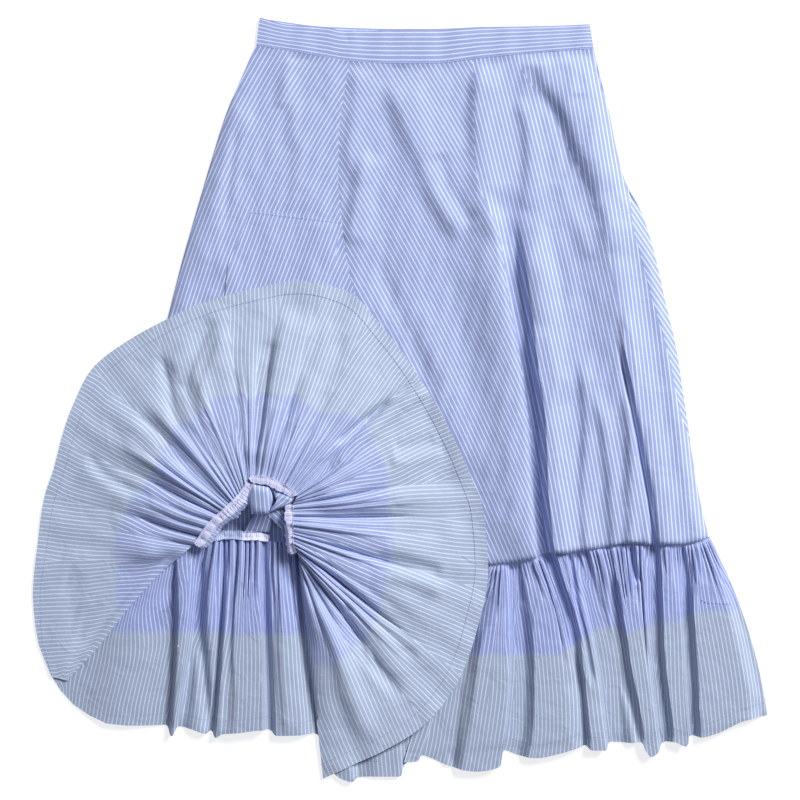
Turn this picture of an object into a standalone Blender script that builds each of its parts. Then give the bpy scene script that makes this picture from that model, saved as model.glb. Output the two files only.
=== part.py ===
"""A gathered midi skirt laid flat, with the left of its hem ruffle turned up and knotted.

Run it with: blender --background --python part.py
+Z is up, the waist points to +Y, and the cloth lies on Z = 0. Lengths in the code are in
millimetres, and are turned into metres when the objects are made.
"""

from collections import namedtuple

import bmesh
import bpy
import numpy as np

# Scale: the laid waistband is 350 mm wide, and spans 337 pixels of the reference photo.
WAIST_WIDTH = 350.0
WAIST_WIDTH_PX = 337.0
MM_PER_PX = WAIST_WIDTH / WAIST_WIDTH_PX
PHOTO_CENTRE_PX = (400.0, 399.5)

CLOTH = 1.2
BAND = 2.0
SEAM_GAP = 0.3
BAND_SEAM = 0.45
CLEAR = 0.45
HEM_DEPTH = 13.5
SEAM_ALLOWANCE = 7.0
BODY_PUFF = 4.5
EDGE_ROLL = 16.0
GATHER_HEIGHT = 1.1

SHIRTING = (0.36, 0.46, 0.78)
SHIRTING_PALE = (0.46, 0.56, 0.76)
OVERLOCK = (0.66, 0.66, 0.80)

# Curves picked on the reference photo, in its pixels, each read from the waist down
# or from left to right.
LEFT_SIDE_PX = (
    (253, 50), (243, 73), (226, 113), (211, 160), (196, 211), (182, 260), (167, 318), (158, 350),
)
FRONT_SEAM_PX = (
    (350.5, 61.5), (344, 93), (339, 133), (338, 180), (340, 205), (344, 240), (350.5, 278), (360, 304),
    (373, 338),
)
CENTRE_HIDDEN_EDGE_PX = ((385, 380), (400, 430), (425, 490), (458, 552))
RIGHT_SIDE_PX = ((594.5, 50), (598, 75), (608, 105), (617, 149), (625, 179), (630, 194))
GORE_SEAM_PX = ((631.5, 219), (638, 247), (653, 302), (668, 355), (679, 406), (689.5, 440))
RUFFLE_SIDE_PX = ((694, 463), (699, 492), (705, 520), (709.5, 537))
GORE_FOLD_PX = ((632, 194), (641, 210), (655, 253), (666, 302), (676, 344), (684.5, 398), (690.5, 439))
BAND_TOP_PX = ((259.5, 17), (286, 24), (326, 27), (342, 30), (392, 30), (430, 30), (486, 27), (529, 26), (590, 24))
BAND_FOOT_PX = ((256, 45), (288, 50), (317, 55), (351, 60.5), (392, 63), (430, 63), (486, 57), (529, 53), (594, 48))
BACK_BAND_TOP_PX = ((262, 18), (326, 26), (400, 28), (430, 28), (486, 26), (588, 25))
BAND_JOIN_X_PX = 350.5
LEFT_PANEL_FOOT_PX = ((158, 350), (200, 356), (240, 358), (300, 352), (345, 345), (373, 338))
CENTRE_PANEL_FOOT_PX = (
    (458, 552), (475, 562), (490, 565), (503, 564), (525, 560.5), (536, 558), (548, 553), (563, 553.5),
    (577, 551), (601, 548), (630, 543), (653, 545), (681, 545), (700, 541), (709.5, 537),
)
BACK_LEFT_PX = ((253, 50), (243, 73), (226, 113), (211, 160), (196, 211), (167, 318), (150, 400), (160, 500), (200, 543))
BACK_RIGHT_PX = (
    (594.5, 50), (608, 105), (617, 149), (630, 194), (655, 253), (666, 302), (676, 344), (684.5, 398),
    (694, 463), (707, 537),
)
BACK_FOOT_PX = ((200, 543), (300, 544), (400, 547), (500, 551), (560, 548), (620, 544), (670, 542), (707, 537))
POCKET_LEFT_PX = ((252, 211), (240, 240), (229, 262), (225, 298), (224, 322))
POCKET_RIGHT_PX = ((341, 221.5), (338, 241), (334.5, 260), (328, 278), (316, 322))

# Folds of the body, worn into the cloth: a ridge has a positive rise and a valley a
# negative one. left and right are its widths on each side, in millimetres.
Fold = namedtuple("Fold", "name rise left right points_px")
BODY_FOLDS = (
    Fold("side_diagonal", -2.5, 12, 16, ((379, 92), (400, 135), (420, 165), (442, 213))),
    Fold("centre_crease", -3.0, 10, 6, ((470, 70), (468, 124), (471, 162), (479, 213), (490, 262))),
    Fold("centre_ridge", 3.0, 8, 16, ((482, 86), (480, 124), (484, 162), (494, 213), (497, 240))),
    Fold("overlap_edge", 5.0, 26, 5, ((497, 232), (507, 304), (513, 336), (522, 412), (534, 508), (540, 580))),
    Fold("overlap_trough", -4.0, 5, 9, ((516, 240), (525, 304), (530, 374), (536, 439), (543, 508), (549, 580))),
    Fold("right_of_trough", 4.5, 10, 14, ((546, 262), (555, 342), (561, 406), (568, 470), (572, 560))),
    Fold("long_valley_top", -3.0, 12, 8, ((513, 60), (538, 105), (574, 168), (594, 226), (600, 262))),
    Fold("long_valley_foot", -4.0, 12, 6, ((600, 240), (609, 304), (621, 368), (636, 434), (651, 500), (662, 570))),
    Fold("long_ridge", 4.5, 6, 14, ((617, 262), (631, 323), (640, 368), (652, 434), (662, 500), (672, 570))),
    Fold("short_valley", -2.0, 9, 8, ((579, 62), (589, 98), (594, 156), (603, 185))),
    Fold("small_valley_left", -2.2, 8, 8, ((574, 430), (578, 476), (586, 530), (590, 570))),
    Fold("small_valley_right", -2.2, 8, 8, ((592, 420), (599, 465), (606, 510), (612, 570))),
    Fold("soft_crease", -1.5, 8, 8, ((482, 291), (486, 355), (486, 454), (487, 560))),
    Fold("left_panel_soft", -1.5, 16, 16, ((300, 75), (280, 140), (262, 215), (250, 300))),
)

# Stretches of ruffle. One row is one fold line from the gathered seam to the hem, with
# the height of the cloth's underside at both ends and the sideways bow at half way.
Line = namedtuple("Line", "seam_x seam_y seam_z hem_x hem_y hem_z bow")
FRONT_RUFFLE = (
    Line(462, 556, 3, 404, 763, 3, 0),
    Line(474, 563, 3, 418, 762, 4, 0),
    Line(483, 565, 3, 421.5, 756, 2.5, 0),
    Line(490, 565, 5, 451, 767, 7, 0),
    Line(497, 564.5, 6, 481, 771, 11, 2),
    Line(502, 564, 6, 499.5, 766.5, 11, 6),
    Line(505, 564, 4, 504, 750, 3, 7),
    Line(512, 562.5, 6, 520, 756, 9, 6),
    Line(522, 561, 7, 548, 757, 11, 8),
    Line(533, 559, 7, 570, 752, 10, 10),
    Line(538, 556, 3.5, 582, 746, 3, 10),
    Line(550, 553, 6, 592, 750, 9, 8),
    Line(568, 553, 7, 606, 750, 10, 6),
    Line(577, 551, 4, 610, 742.5, 3, 6),
    Line(590, 548.5, 6, 622, 744, 9, 4),
    Line(603, 547.5, 6, 637, 741.5, 9, 3),
    Line(612, 546, 4, 642, 742, 3.5, 2),
    Line(628, 543.5, 6, 651, 756, 11, 0),
    Line(640, 543, 6, 657, 747, 9, -1),
    Line(649, 543, 3.5, 661, 743, 2.5, -2),
    Line(660, 545, 7, 670, 741.5, 11, -1),
    Line(674, 545, 7, 685, 746, 10, 0),
    Line(682, 545, 4, 690, 735.5, 3.5, 1),
    Line(690, 543, 6, 712, 733.5, 10, 3),
    Line(700, 541, 6, 745, 718, 11, 7),
    Line(709.5, 537, 3, 768, 716, 2.5, 9),
)
BACK_RUFFLE = (
    Line(66, 679, 0, 56, 685, 0, 0),
    Line(100, 648, 1, 82, 712, 2, 0),
    Line(135, 604, 2, 115, 725, 4, 0),
    Line(160, 575, 2, 142, 726, 3, 0),
    Line(185, 555, 1, 165, 725.5, 0.5, 0),
    Line(200, 546, 3, 172, 736, 5, 0),
    Line(206, 545, 1, 178, 727, 0, 0),
    Line(212, 544, 3, 192, 729.5, 4, 0),
    Line(219, 543, 4, 206, 733.5, 5, 2),
    Line(224, 542, 1, 210, 731, 0, 3),
    Line(229, 542, 4, 216, 737.5, 5, 3),
    Line(234, 542, 4, 222, 734, 5, 2),
    Line(246, 543, 5, 240, 732, 7, 0),
    Line(258, 543, 5, 262, 729.5, 7, 0),
    Line(264, 544, 1, 268, 730, 0, -1),
    Line(272, 545, 4, 277, 735.5, 5, 0),
    Line(285, 546, 4, 300, 735, 5, 0),
    Line(296, 547, 1, 314, 734, 2, 0),
    Line(316, 547, 1, 336, 776, 3, 0),
    Line(330, 548, 1, 352, 782, 4, 0),
    Line(340, 548, 0, 358, 778, 1, 0),
    Line(360, 549, 1, 380, 777, 3, 0),
    Line(385, 549, 1, 400, 777, 3, 0),
    Line(400, 550, 0, 405, 765, 0.5, 0),
    Line(450, 552, 0, 440, 750, 0.5, 0),
    Line(500, 554, 0, 500, 742, 0, 0),
    Line(560, 551, 0, 570, 738, 0.5, 0),
    Line(620, 547, 0, 640, 732, 0, 0),
    Line(670, 545, 0, 700, 727, 0.5, 0),
    Line(707, 540, 0, 764, 711, 0, 6),
)
FAN = (
    Line(298, 561, 15, 323, 779, 9, 0),
    Line(299, 559, 17, 346, 768, 11, 0),
    Line(297, 556, 19, 382, 751, 12, 0),
    Line(294, 552, 21, 423, 725, 11, 0),
    Line(291, 547, 23, 459, 679, 11, 0),
    Line(289, 540, 25, 478, 625, 10, 0),
    Line(289, 531, 26, 488, 571, 9, 0),
    Line(289, 518, 27, 484, 515, 8, 0),
    Line(289, 507, 27, 470, 474, 8, 0),
    Line(296, 496, 28, 448, 426, 8, 0),
    Line(290, 490, 28, 423, 383, 8, 0),
    Line(281, 485, 29, 385, 330, 8, 0),
    Line(274, 481, 29, 346, 291, 8, 0),
    Line(266, 479, 29, 301, 281, 7, 0),
    Line(259, 478, 29, 248, 290, 7, 0),
    Line(254, 479, 28, 200, 304, 6, 0),
    Line(250, 486, 28, 167, 319, 4, 0),
    Line(243, 497, 27, 125, 342, 2, 0),
    Line(235, 505, 27, 91, 369, 1, 0),
    Line(228, 511, 26, 74, 401, 1, 0),
    Line(222, 516, 25, 63, 431, 1, 0),
    Line(212, 526, 24, 53, 469, 1, 0),
    Line(199, 544, 21, 43, 500, 1, 0),
    Line(162, 572, 17, 36, 552, 1, 0),
    Line(128, 609, 13, 32, 594, 1, 0),
    Line(97, 649, 9, 37, 641, 1, 0),
    Line(68, 675, 4, 47, 669, 1, 0),
)
FAN_FOLDS = (
    Fold("top_valley", -6, 12, 7, ((274, 330), (266, 389), (259, 447), (254, 474))),
    Fold("top_ridge", 3, 10, 12, ((290, 330), (281, 389), (268, 460))),
    Fold("slit_near_hem", -5, 5, 9, ((318, 468), (337, 442), (369, 415), (415, 387))),
    Fold("right_of_slit", 4, 8, 12, ((330, 475), (365, 440), (425, 405))),
    Fold("inner_valley", -4, 7, 8, ((292, 474), (319, 446), (355, 415))),
    Fold("left_wedge", -4, 8, 8, ((168, 370), (176, 413), (215, 465), (240, 500))),
    Fold("left_crease", -4, 8, 10, ((128, 410), (174, 449), (205, 485), (225, 510))),
    Fold("low_left_crease", -4, 8, 8, ((110, 470), (150, 492), (195, 520))),
    Fold("left_ridge", 3, 14, 14, ((90, 480), (140, 520), (190, 545))),
    Fold("right_ridge", 3, 12, 12, ((310, 500), (370, 490), (440, 480))),
    Fold("right_valley", -3, 10, 10, ((300, 515), (370, 515), (440, 510))),
    Fold("low_right_ridge", 3, 12, 12, ((310, 540), (370, 560), (450, 590))),
    Fold("low_right_slit", -4, 7, 9, ((310, 568), (344, 612), (360, 645), (395, 690), (415, 715))),
    Fold("low_right_roll", 3, 10, 10, ((312, 590), (335, 645), (365, 720))),
)

# The share of the way from seam to hem at each row of a ruffle's mesh; the last step is
# the turned hem.
FAN_STEPS = (0.0, 0.05, 0.13, 0.25, 0.40, 0.58, 0.77, 0.935, 1.0)
RUFFLE_STEPS = (0.0, 0.07, 0.20, 0.42, 0.68, 0.935, 1.0)
FAN_COLUMNS = 96
FRONT_COLUMNS = 62
BACK_COLUMNS = 72

# Bunched body cloth under the fan: its reach from the centre in eight directions,
# anticlockwise from +X.
BUNDLE_CENTRE_PX = (262, 470)
BUNDLE_REACH_PX = (122, 116, 104, 116, 104, 86, 62, 92)
BUNDLE_HEIGHT = 23.0
BUNDLE_ROUND = 0.7

# The tie: a wrap over the drawn-up seam, a loop to its right, a crossing under the loop
# and a tail that ends at the lower seam.
WRAP_CENTRE_PX = (261.5, 500)
WRAP_SIZE = (23.0, 26.0, 15.0)
CROSSING_CENTRE_PX = (274, 517.5)
CROSSING_SIZE = (18.0, 9.0, 8.0)
CROSSING_SPIN = -42
LOOP_PX = ((276.5, 491), (283, 489), (290, 493), (292, 499), (286, 504.5), (278, 507.5))
LOOP_RADIUS = 3.6
TAIL_CLEAR = 0.1
TAIL_LEFT_PX = ((257, 514.5), (250, 521), (245, 529.5))
TAIL_RIGHT_PX = ((265, 514.5), (264.5, 522), (263, 530))


def to_mm(points_px):
    """Pixels of the reference photo to millimetres, x to the right and y to the waist."""
    away = np.asarray(points_px, float) - PHOTO_CENTRE_PX
    return away * (MM_PER_PX, -MM_PER_PX)


def through(knots, rows, at):
    """A curve through rows of values at rising knots that never overshoots a row."""
    knots = np.asarray(knots, float)
    rows = np.asarray(rows, float)
    gaps = np.diff(knots)[:, None]
    slopes = np.diff(rows, axis=0) / gaps
    product = slopes[:-1] * slopes[1:]
    total = slopes[:-1] + slopes[1:]
    bends = np.zeros_like(rows)
    bends[0] = slopes[0]
    bends[-1] = slopes[-1]
    bends[1:-1] = np.where(product > 0, 2 * product / np.where(total == 0, 1, total), 0)
    i = np.clip(np.searchsorted(knots, at, side="right") - 1, 0, len(gaps) - 1)
    f = ((at - knots[i]) / gaps[i, 0])[:, None]
    start = (1 + 2 * f) * (1 - f) ** 2 * rows[i] + f * (1 - f) ** 2 * gaps[i] * bends[i]
    end = f**2 * (3 - 2 * f) * rows[i + 1] + f**2 * (f - 1) * gaps[i] * bends[i + 1]
    return start + end


def curve(points, count):
    """The given points joined by a smooth curve, as evenly spaced points."""
    points = np.asarray(points, float)
    reach = np.concatenate([[0], np.cumsum(np.hypot(*np.diff(points, axis=0).T))])
    return through(reach, points, np.linspace(0, reach[-1], count))


def patch(left, right, top, foot):
    """Fills four edge curves with a grid: [across, down, xy]."""
    across = np.linspace(0, 1, len(top))[:, None, None]
    down = np.linspace(0, 1, len(left))[None, :, None]
    sides = left[None] * (1 - across) + right[None] * across
    ends = top[:, None] * (1 - down) + foot[:, None] * down
    corners = (left[0] * (1 - across) + right[0] * across) * (1 - down)
    corners = corners + (left[-1] * (1 - across) + right[-1] * across) * down
    return sides + ends - corners


def fold_height(points, folds):
    """The rise that a table of folds gives at each point."""
    total = np.zeros(points.shape[:-1])
    for fold in folds:
        path = to_mm(fold.points_px)
        lengths = np.hypot(*np.diff(path, axis=0).T)
        starts = np.concatenate([[0], np.cumsum(lengths)])
        nearest = np.full(total.shape, np.inf)
        side = np.zeros(total.shape)
        along = np.zeros(total.shape)
        for a, b, length, start in zip(path, path[1:], lengths, starts):
            way = (b - a) / length
            off = points - a
            reach = np.clip(off @ way, 0, length)
            away = off - reach[..., None] * way
            distance = np.hypot(away[..., 0], away[..., 1])
            closer = distance < nearest
            nearest = np.where(closer, distance, nearest)
            side = np.where(closer, way[0] * off[..., 1] - way[1] * off[..., 0], side)
            along = np.where(closer, (start + reach) / starts[-1], along)
        width = np.where(side < 0, fold.left, fold.right)
        ends = np.clip(np.minimum(along, 1 - along) / 0.18, 0, 1)
        fade = ends * ends * (3 - 2 * ends)
        total += fold.rise * fade * np.exp(-((nearest / width) ** 2))
    return total


class Heap:
    """The height of the cloth laid so far, on a fine square raster."""

    cell = 1.0
    half = 420.0

    def __init__(self):
        count = int(2 * self.half / self.cell) + 1
        self.top = np.zeros((count, count))

    def index(self, points):
        spot = np.rint((points + self.half) / self.cell).astype(int)
        return np.clip(spot, 0, len(self.top) - 1)

    def add(self, points, top):
        """Lays a grid's upper face on the heap."""
        steps = np.hypot(*np.moveaxis(np.diff(points, axis=0), -1, 0)).max()
        rows = np.hypot(*np.moveaxis(np.diff(points, axis=1), -1, 0)).max()
        layer = np.zeros_like(self.top)
        for f in np.linspace(0, 1, int(1.3 * steps / self.cell) + 2):
            for g in np.linspace(0, 1, int(1.3 * rows / self.cell) + 2):
                spot = self.index(blend(points, f, g))
                np.maximum.at(layer, (spot[..., 0], spot[..., 1]), blend(top, f, g))
        wide = layer.copy()
        for axis in (0, 1):
            wide = np.maximum(wide, np.roll(wide, 1, axis))
            wide = np.maximum(wide, np.roll(wide, -1, axis))
        self.top = np.maximum(self.top, wide)

    def under(self, points):
        spot = self.index(points)
        return self.top[spot[..., 0], spot[..., 1]]

    def level(self, points, below):
        """The height at which a body rests on the heap, from how far its points reach below it."""
        return (self.under(points) + SEAM_GAP + below).max()

    def lift(self, points, low, clear=CLEAR):
        """Raises a grid's underside until it clears everything laid so far."""
        low = np.maximum(low, self.under(points) + clear)
        for _ in range(5):
            short = np.zeros((low.shape[0] - 1, low.shape[1] - 1))
            for f in np.linspace(0, 1, 8):
                for g in np.linspace(0, 1, 12):
                    ground = self.under(blend(points, f, g))
                    short = np.maximum(short, ground + clear - blend(low, f, g))
            raised = np.zeros_like(low)
            for i in (0, 1):
                for j in (0, 1):
                    part = raised[i : i + short.shape[0], j : j + short.shape[1]]
                    np.maximum(part, short, out=part)
            low = low + np.where(raised > 0.01, raised, 0)
        return low


def blend(grid, f, g):
    """A grid's values at the same place in each of its cells."""
    first = grid[:-1] * (1 - f) + grid[1:] * f
    return first[:, :-1] * (1 - g) + first[:, 1:] * g


def upper_face(points, low, wall):
    """The top of a cloth whose wall is even, measured square to its slope."""
    along_x = np.gradient(points[..., 0], axis=0)
    along_y = np.gradient(points[..., 1], axis=0)
    along_z = np.gradient(low, axis=0)
    down_x = np.gradient(points[..., 0], axis=1)
    down_y = np.gradient(points[..., 1], axis=1)
    down_z = np.gradient(low, axis=1)
    flat = along_x * down_y - along_y * down_x
    lean_x = along_y * down_z - along_z * down_y
    lean_y = along_z * down_x - along_x * down_z
    size = np.sqrt(flat**2 + lean_x**2 + lean_y**2) + 1e-9
    return low + wall / np.clip(np.abs(flat) / size, 0.5, 1)


def material(name, colour, roughness=0.85):
    made = bpy.data.materials.new(name)
    made.use_nodes = True
    shader = made.node_tree.nodes["Principled BSDF"]
    shader.inputs["Base Color"].default_value = (*colour, 1)
    shader.inputs["Roughness"].default_value = roughness
    shader.inputs["Metallic"].default_value = 0.0
    return made


def new_object(name, bm, colour):
    bmesh.ops.recalc_face_normals(bm, faces=bm.faces)
    mesh = bpy.data.meshes.new(name)
    bm.to_mesh(mesh)
    bm.free()
    mesh.materials.append(material(name, colour))
    obj = bpy.data.objects.new(name, mesh)
    skirt.objects.link(obj)
    return obj


def cloth(name, points, low, colour, wall=CLOTH):
    """A closed wall of cloth over a grid of points, with its underside at low."""
    count, rows = low.shape
    top = upper_face(points, low, wall)
    bm = bmesh.new()
    bmesh.ops.create_grid(bm, x_segments=count - 1, y_segments=rows - 1, size=1)
    column = bm.verts.layers.int.new("column")
    row = bm.verts.layers.int.new("row")
    for vert in bm.verts:
        vert[column] = round((vert.co.x + 1) / 2 * (count - 1))
        vert[row] = round((vert.co.y + 1) / 2 * (rows - 1))
        place = vert[column], vert[row]
        vert.co = (*points[place] / 1000, low[place] / 1000)
    lifted = bmesh.ops.extrude_face_region(bm, geom=bm.faces[:])["geom"]
    for vert in lifted:
        if isinstance(vert, bmesh.types.BMVert):
            vert.co.z = top[vert[column], vert[row]] / 1000
    new_object(name, bm, colour)
    return top


def rounded(name, centre_px, size, spin, colour, segments=20, rings=10):
    """An egg of folded cloth, turned about Z by spin degrees and set down on the heap."""
    bm = bmesh.new()
    bmesh.ops.create_uvsphere(bm, u_segments=segments, v_segments=rings, radius=1)
    shape = np.array([vert.co for vert in bm.verts]) * size / 2
    turn = np.radians(spin)
    x = shape[:, 0] * np.cos(turn) - shape[:, 1] * np.sin(turn)
    y = shape[:, 0] * np.sin(turn) + shape[:, 1] * np.cos(turn)
    plan = to_mm(centre_px) + np.stack([x, y], axis=-1)
    level = heap.level(plan, -shape[:, 2])
    for vert, spot, z in zip(bm.verts, plan, shape[:, 2]):
        vert.co = (*spot / 1000, (level + z) / 1000)
    new_object(name, bm, colour)


def body_low(points, across_left, across_right):
    """Underside of the front body: a soft puff that rolls down to each side edge."""
    edge = np.minimum(across_left, across_right) / EDGE_ROLL
    edge = 1 - np.clip(1 - edge, 0, 1) ** 2
    down = np.clip((370 - points[..., 1]) / 540, 0, 1)
    puff = BODY_PUFF * (0.25 + 0.75 * down)
    return CLOTH + CLEAR + np.maximum(edge * (puff + fold_height(points, BODY_FOLDS)), 0)


def side_distance(points, side_px):
    """How far each point is from a side edge, measured along X."""
    side = curve(to_mm(side_px), 80)
    order = np.argsort(side[:, 1])
    return np.abs(points[..., 0] - np.interp(points[..., 1], side[order, 1], side[order, 0]))


FRONT_RIGHT_EDGE_PX = RIGHT_SIDE_PX + GORE_FOLD_PX[1:] + RUFFLE_SIDE_PX


def front_low(points):
    return body_low(
        points, side_distance(points, LEFT_SIDE_PX), side_distance(points, FRONT_RIGHT_EDGE_PX)
    )


def inset(points, left=0.0, right=0.0, top=0.0, foot=0.0):
    """Draws a grid's edges in by the given millimetres, for the gaps at its seams."""
    count = points.shape[0]
    rows = points.shape[1]
    moved = points.copy()
    width = np.linalg.norm(points[-1] - points[0], axis=-1)[None, :, None]
    height = np.linalg.norm(points[:, -1] - points[:, 0], axis=-1)[:, None, None]
    u = np.linspace(0, 1, count)[:, None, None]
    v = np.linspace(0, 1, rows)[None, :, None]
    moved += (points[-1] - points[0])[None] / width**1 * ((1 - u) * left - u * right)
    moved += (points[:, -1] - points[:, 0])[:, None] / height**1 * ((1 - v) * top - v * foot)
    return moved


def line_knots(lines):
    """How far along its ruffle each fold line of a table lies."""
    table = np.array(lines, float)
    seam = np.hypot(*np.diff(to_mm(table[:, 0:2]), axis=0).T)
    hem = np.hypot(*np.diff(to_mm(table[:, 3:5]), axis=0).T)
    return np.concatenate([[0], np.cumsum(hem + 0.4 * seam)])


def columns_between(lines, columns, first, last):
    """The columns of a ruffle's grid between two of its fold lines."""
    knots = line_knots(lines)
    spots = np.rint(knots[[first, last]] / knots[-1] * (columns - 1)).astype(int)
    return slice(spots[0], spots[1] + 1)


def ruffle_grid(lines, steps, columns):
    """The plan and underside of a ruffle from its table of fold lines."""
    table = np.array(lines, float)
    knots = line_knots(lines)
    rows = np.column_stack([to_mm(table[:, 0:2]), table[:, 2], to_mm(table[:, 3:5]), table[:, 5:7]])
    at = np.linspace(0, knots[-1], columns)
    found = through(knots, rows, at)
    t = np.array(steps)[None, :]
    points = found[:, None, 0:2] * (1 - t[..., None]) + found[:, None, 3:5] * t[..., None]
    points[..., 0] += found[:, 6:7] * MM_PER_PX * 4 * t * (1 - t)
    low = found[:, 2:3] * (1 - t) + found[:, 5:6] * t
    pleats = np.where(np.arange(columns) % 2, 1.0, 0.0)[:, None]
    return points, low + pleats * GATHER_HEIGHT * np.exp(-t / 0.2)


def waist():
    """The two halves of the front band and the back band under them."""
    foot = curve(to_mm(BAND_FOOT_PX), 60)
    top = curve(to_mm(BAND_TOP_PX), 60)
    join = (BAND_JOIN_X_PX - PHOTO_CENTRE_PX[0]) * MM_PER_PX
    split = int(np.searchsorted(top[:, 0], join))
    back_top = curve(to_mm(BACK_BAND_TOP_PX), 16)
    back_foot = curve(to_mm(BAND_FOOT_PX), 16)
    points = np.stack([back_top, back_foot], axis=1)
    points = inset(points, left=1.2, right=1.2)
    low = np.zeros(points.shape[:2])
    heap.add(points, cloth("waistband_back", points, low, SHIRTING, BAND))
    for name, part in (
        ("waistband_front_left", slice(0, split)),
        ("waistband_front", slice(split, 60)),
    ):
        count = 8 if part.start == 0 else 14
        steps = np.linspace(0, 1, 4)[None, :, None]
        tops = curve(top[part], count)[:, None]
        feet = curve(foot[part], count)[:, None]
        points = inset(tops * (1 - steps) + feet * steps, left=0.15, right=0.15)
        ends = np.minimum(points[..., 0] + 148, 202 - points[..., 0])
        low = 0.6 + 0.9 * np.clip(ends / 10, 0, 1)
        low = heap.lift(points, low)
        heap.add(points, cloth(name, points, low, SHIRTING, BAND))


def back_panel():
    left = curve(to_mm(BACK_LEFT_PX), 14)
    right = curve(to_mm(BACK_RIGHT_PX), 14)
    top = curve(to_mm(BAND_FOOT_PX) - (0, BAND_SEAM), 16)
    foot = curve(to_mm(BACK_FOOT_PX), 16)
    left[0] = top[0]
    right[0] = top[-1]
    points = inset(patch(left, right, top, foot), foot=0.6)
    low = np.zeros(points.shape[:2])
    heap.add(points, cloth("back_panel", points, low, SHIRTING))


def back_ruffle():
    points, low = ruffle_grid(BACK_RUFFLE, RUFFLE_STEPS, BACK_COLUMNS)
    low = np.maximum(low, 0)
    top = cloth("ruffle_back", points, low, SHIRTING_PALE)
    heap.add(points, top)
    return points, top


def front_panels():
    join = curve(to_mm(FRONT_SEAM_PX), 18)
    left = curve(to_mm(LEFT_SIDE_PX), 18)
    top = curve(to_mm(BAND_FOOT_PX[:4]) - (0, BAND_SEAM), 12)
    foot = curve(to_mm(LEFT_PANEL_FOOT_PX), 12)
    left[0] = top[0]
    join[0] = top[-1]
    points = inset(patch(left, join, top, foot), right=0.2)
    low = heap.lift(points, front_low(points))
    heap.add(points, cloth("front_left_panel", points, low, SHIRTING))

    rows = 26
    join = curve(to_mm(FRONT_SEAM_PX + CENTRE_HIDDEN_EDGE_PX), rows)
    right = curve(to_mm(RIGHT_SIDE_PX + GORE_SEAM_PX + RUFFLE_SIDE_PX), rows)
    foot = curve(to_mm(CENTRE_PANEL_FOOT_PX), 30)
    top = curve(to_mm(BAND_FOOT_PX[3:]) - (0, BAND_SEAM), 30)
    join[0] = top[0]
    right[0] = top[-1]
    points = inset(patch(join, right, top, foot), left=0.2, right=0.2, foot=0.3)
    low = heap.lift(points, front_low(points))
    heap.add(points, cloth("front_centre_panel", points, low, SHIRTING))

    seam = curve(to_mm(((630.6, 195),) + GORE_SEAM_PX), 14)
    fold = curve(to_mm(GORE_FOLD_PX), 14)
    across = np.linspace(0, 1, 4)[:, None, None]
    points = seam[None] * (1 - across) + fold[None] * across
    points[:, :, 0] += 0.25 * (1 - across[..., 0])
    low = heap.lift(points, front_low(points))
    heap.add(points, cloth("side_gore", points, low, SHIRTING))


def pocket():
    left = curve(to_mm(POCKET_LEFT_PX), 9)
    right = curve(to_mm(POCKET_RIGHT_PX), 9)
    across = np.linspace(0, 1, 9)[:, None, None]
    points = left[None] * (1 - across) + right[None] * across
    low = heap.lift(points, np.zeros(points.shape[:2]), SEAM_GAP)
    heap.add(points, cloth("pocket", points, low, SHIRTING, 1.0))


def front_ruffle():
    points, low = ruffle_grid(FRONT_RUFFLE, RUFFLE_STEPS, FRONT_COLUMNS)
    points = inset(points, top=0.3)
    low = heap.lift(points, low)
    heap.add(points, cloth("ruffle_front", points, low, SHIRTING_PALE))


def bundle():
    """The body cloth drawn up under the fan, as one rounded solid."""
    directions = np.radians(np.arange(9) * 45)
    reach = np.array(BUNDLE_REACH_PX + BUNDLE_REACH_PX[:1], float)[:, None] * MM_PER_PX
    centre = to_mm(BUNDLE_CENTRE_PX)
    bm = bmesh.new()
    bmesh.ops.create_uvsphere(bm, u_segments=32, v_segments=12, radius=1)
    base = CLOTH + CLEAR
    rim = 2.0
    for vert in bm.verts:
        angle = np.arctan2(vert.co.y, vert.co.x) % (2 * np.pi)
        out = min(np.hypot(vert.co.x, vert.co.y), 1.0)
        far = through(directions, reach, np.array([angle]))[0, 0]
        high = base + rim + BUNDLE_HEIGHT * (1 - out**2) ** BUNDLE_ROUND
        vert.co.x = (centre[0] + far * out * np.cos(angle)) / 1000
        vert.co.y = (centre[1] + far * out * np.sin(angle)) / 1000
        if vert.co.z > 0.01:
            vert.co.z = high / 1000
        elif vert.co.z < -0.01:
            vert.co.z = base / 1000
        else:
            vert.co.z = (base + rim / 2) / 1000
    new_object("hidden_bundle", bm, SHIRTING)
    angles = np.linspace(0, 2 * np.pi, 33)
    out = np.sin(np.linspace(0, np.pi / 2, 7))[None, :]
    far = through(directions, reach, angles)
    flat = np.stack([np.cos(angles), np.sin(angles)], axis=-1)[:, None] * (far * out)[..., None]
    high = base + rim + BUNDLE_HEIGHT * (1 - out**2) ** BUNDLE_ROUND + 0 * far
    heap.add(centre + flat, high)


def fan():
    """The front ruffle turned inside out and spread, with its hem and seam allowances."""
    points, low = ruffle_grid(FAN, FAN_STEPS, FAN_COLUMNS)
    share = np.array(FAN_STEPS)[None, :]
    fade = np.clip(share / 0.1, 0, 1) * np.clip((1.15 - share) / 0.3, 0, 1)
    low = low + fade * fold_height(points, FAN_FOLDS)
    low = heap.lift(points, np.maximum(low, 0.3))
    top = cloth("ruffle_fan", points, low, SHIRTING_PALE)
    heap.add(points, top)
    return points, low, top


def turned_hem(name, points, top, part):
    """The hem turned up on a ruffle: a strip made from the ruffle's own points, moved out."""
    strip = points[part, -2:]
    low = top[part, -2:] + SEAM_GAP
    heap.add(strip, cloth(name, strip, low, SHIRTING_PALE, 1.0))


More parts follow.
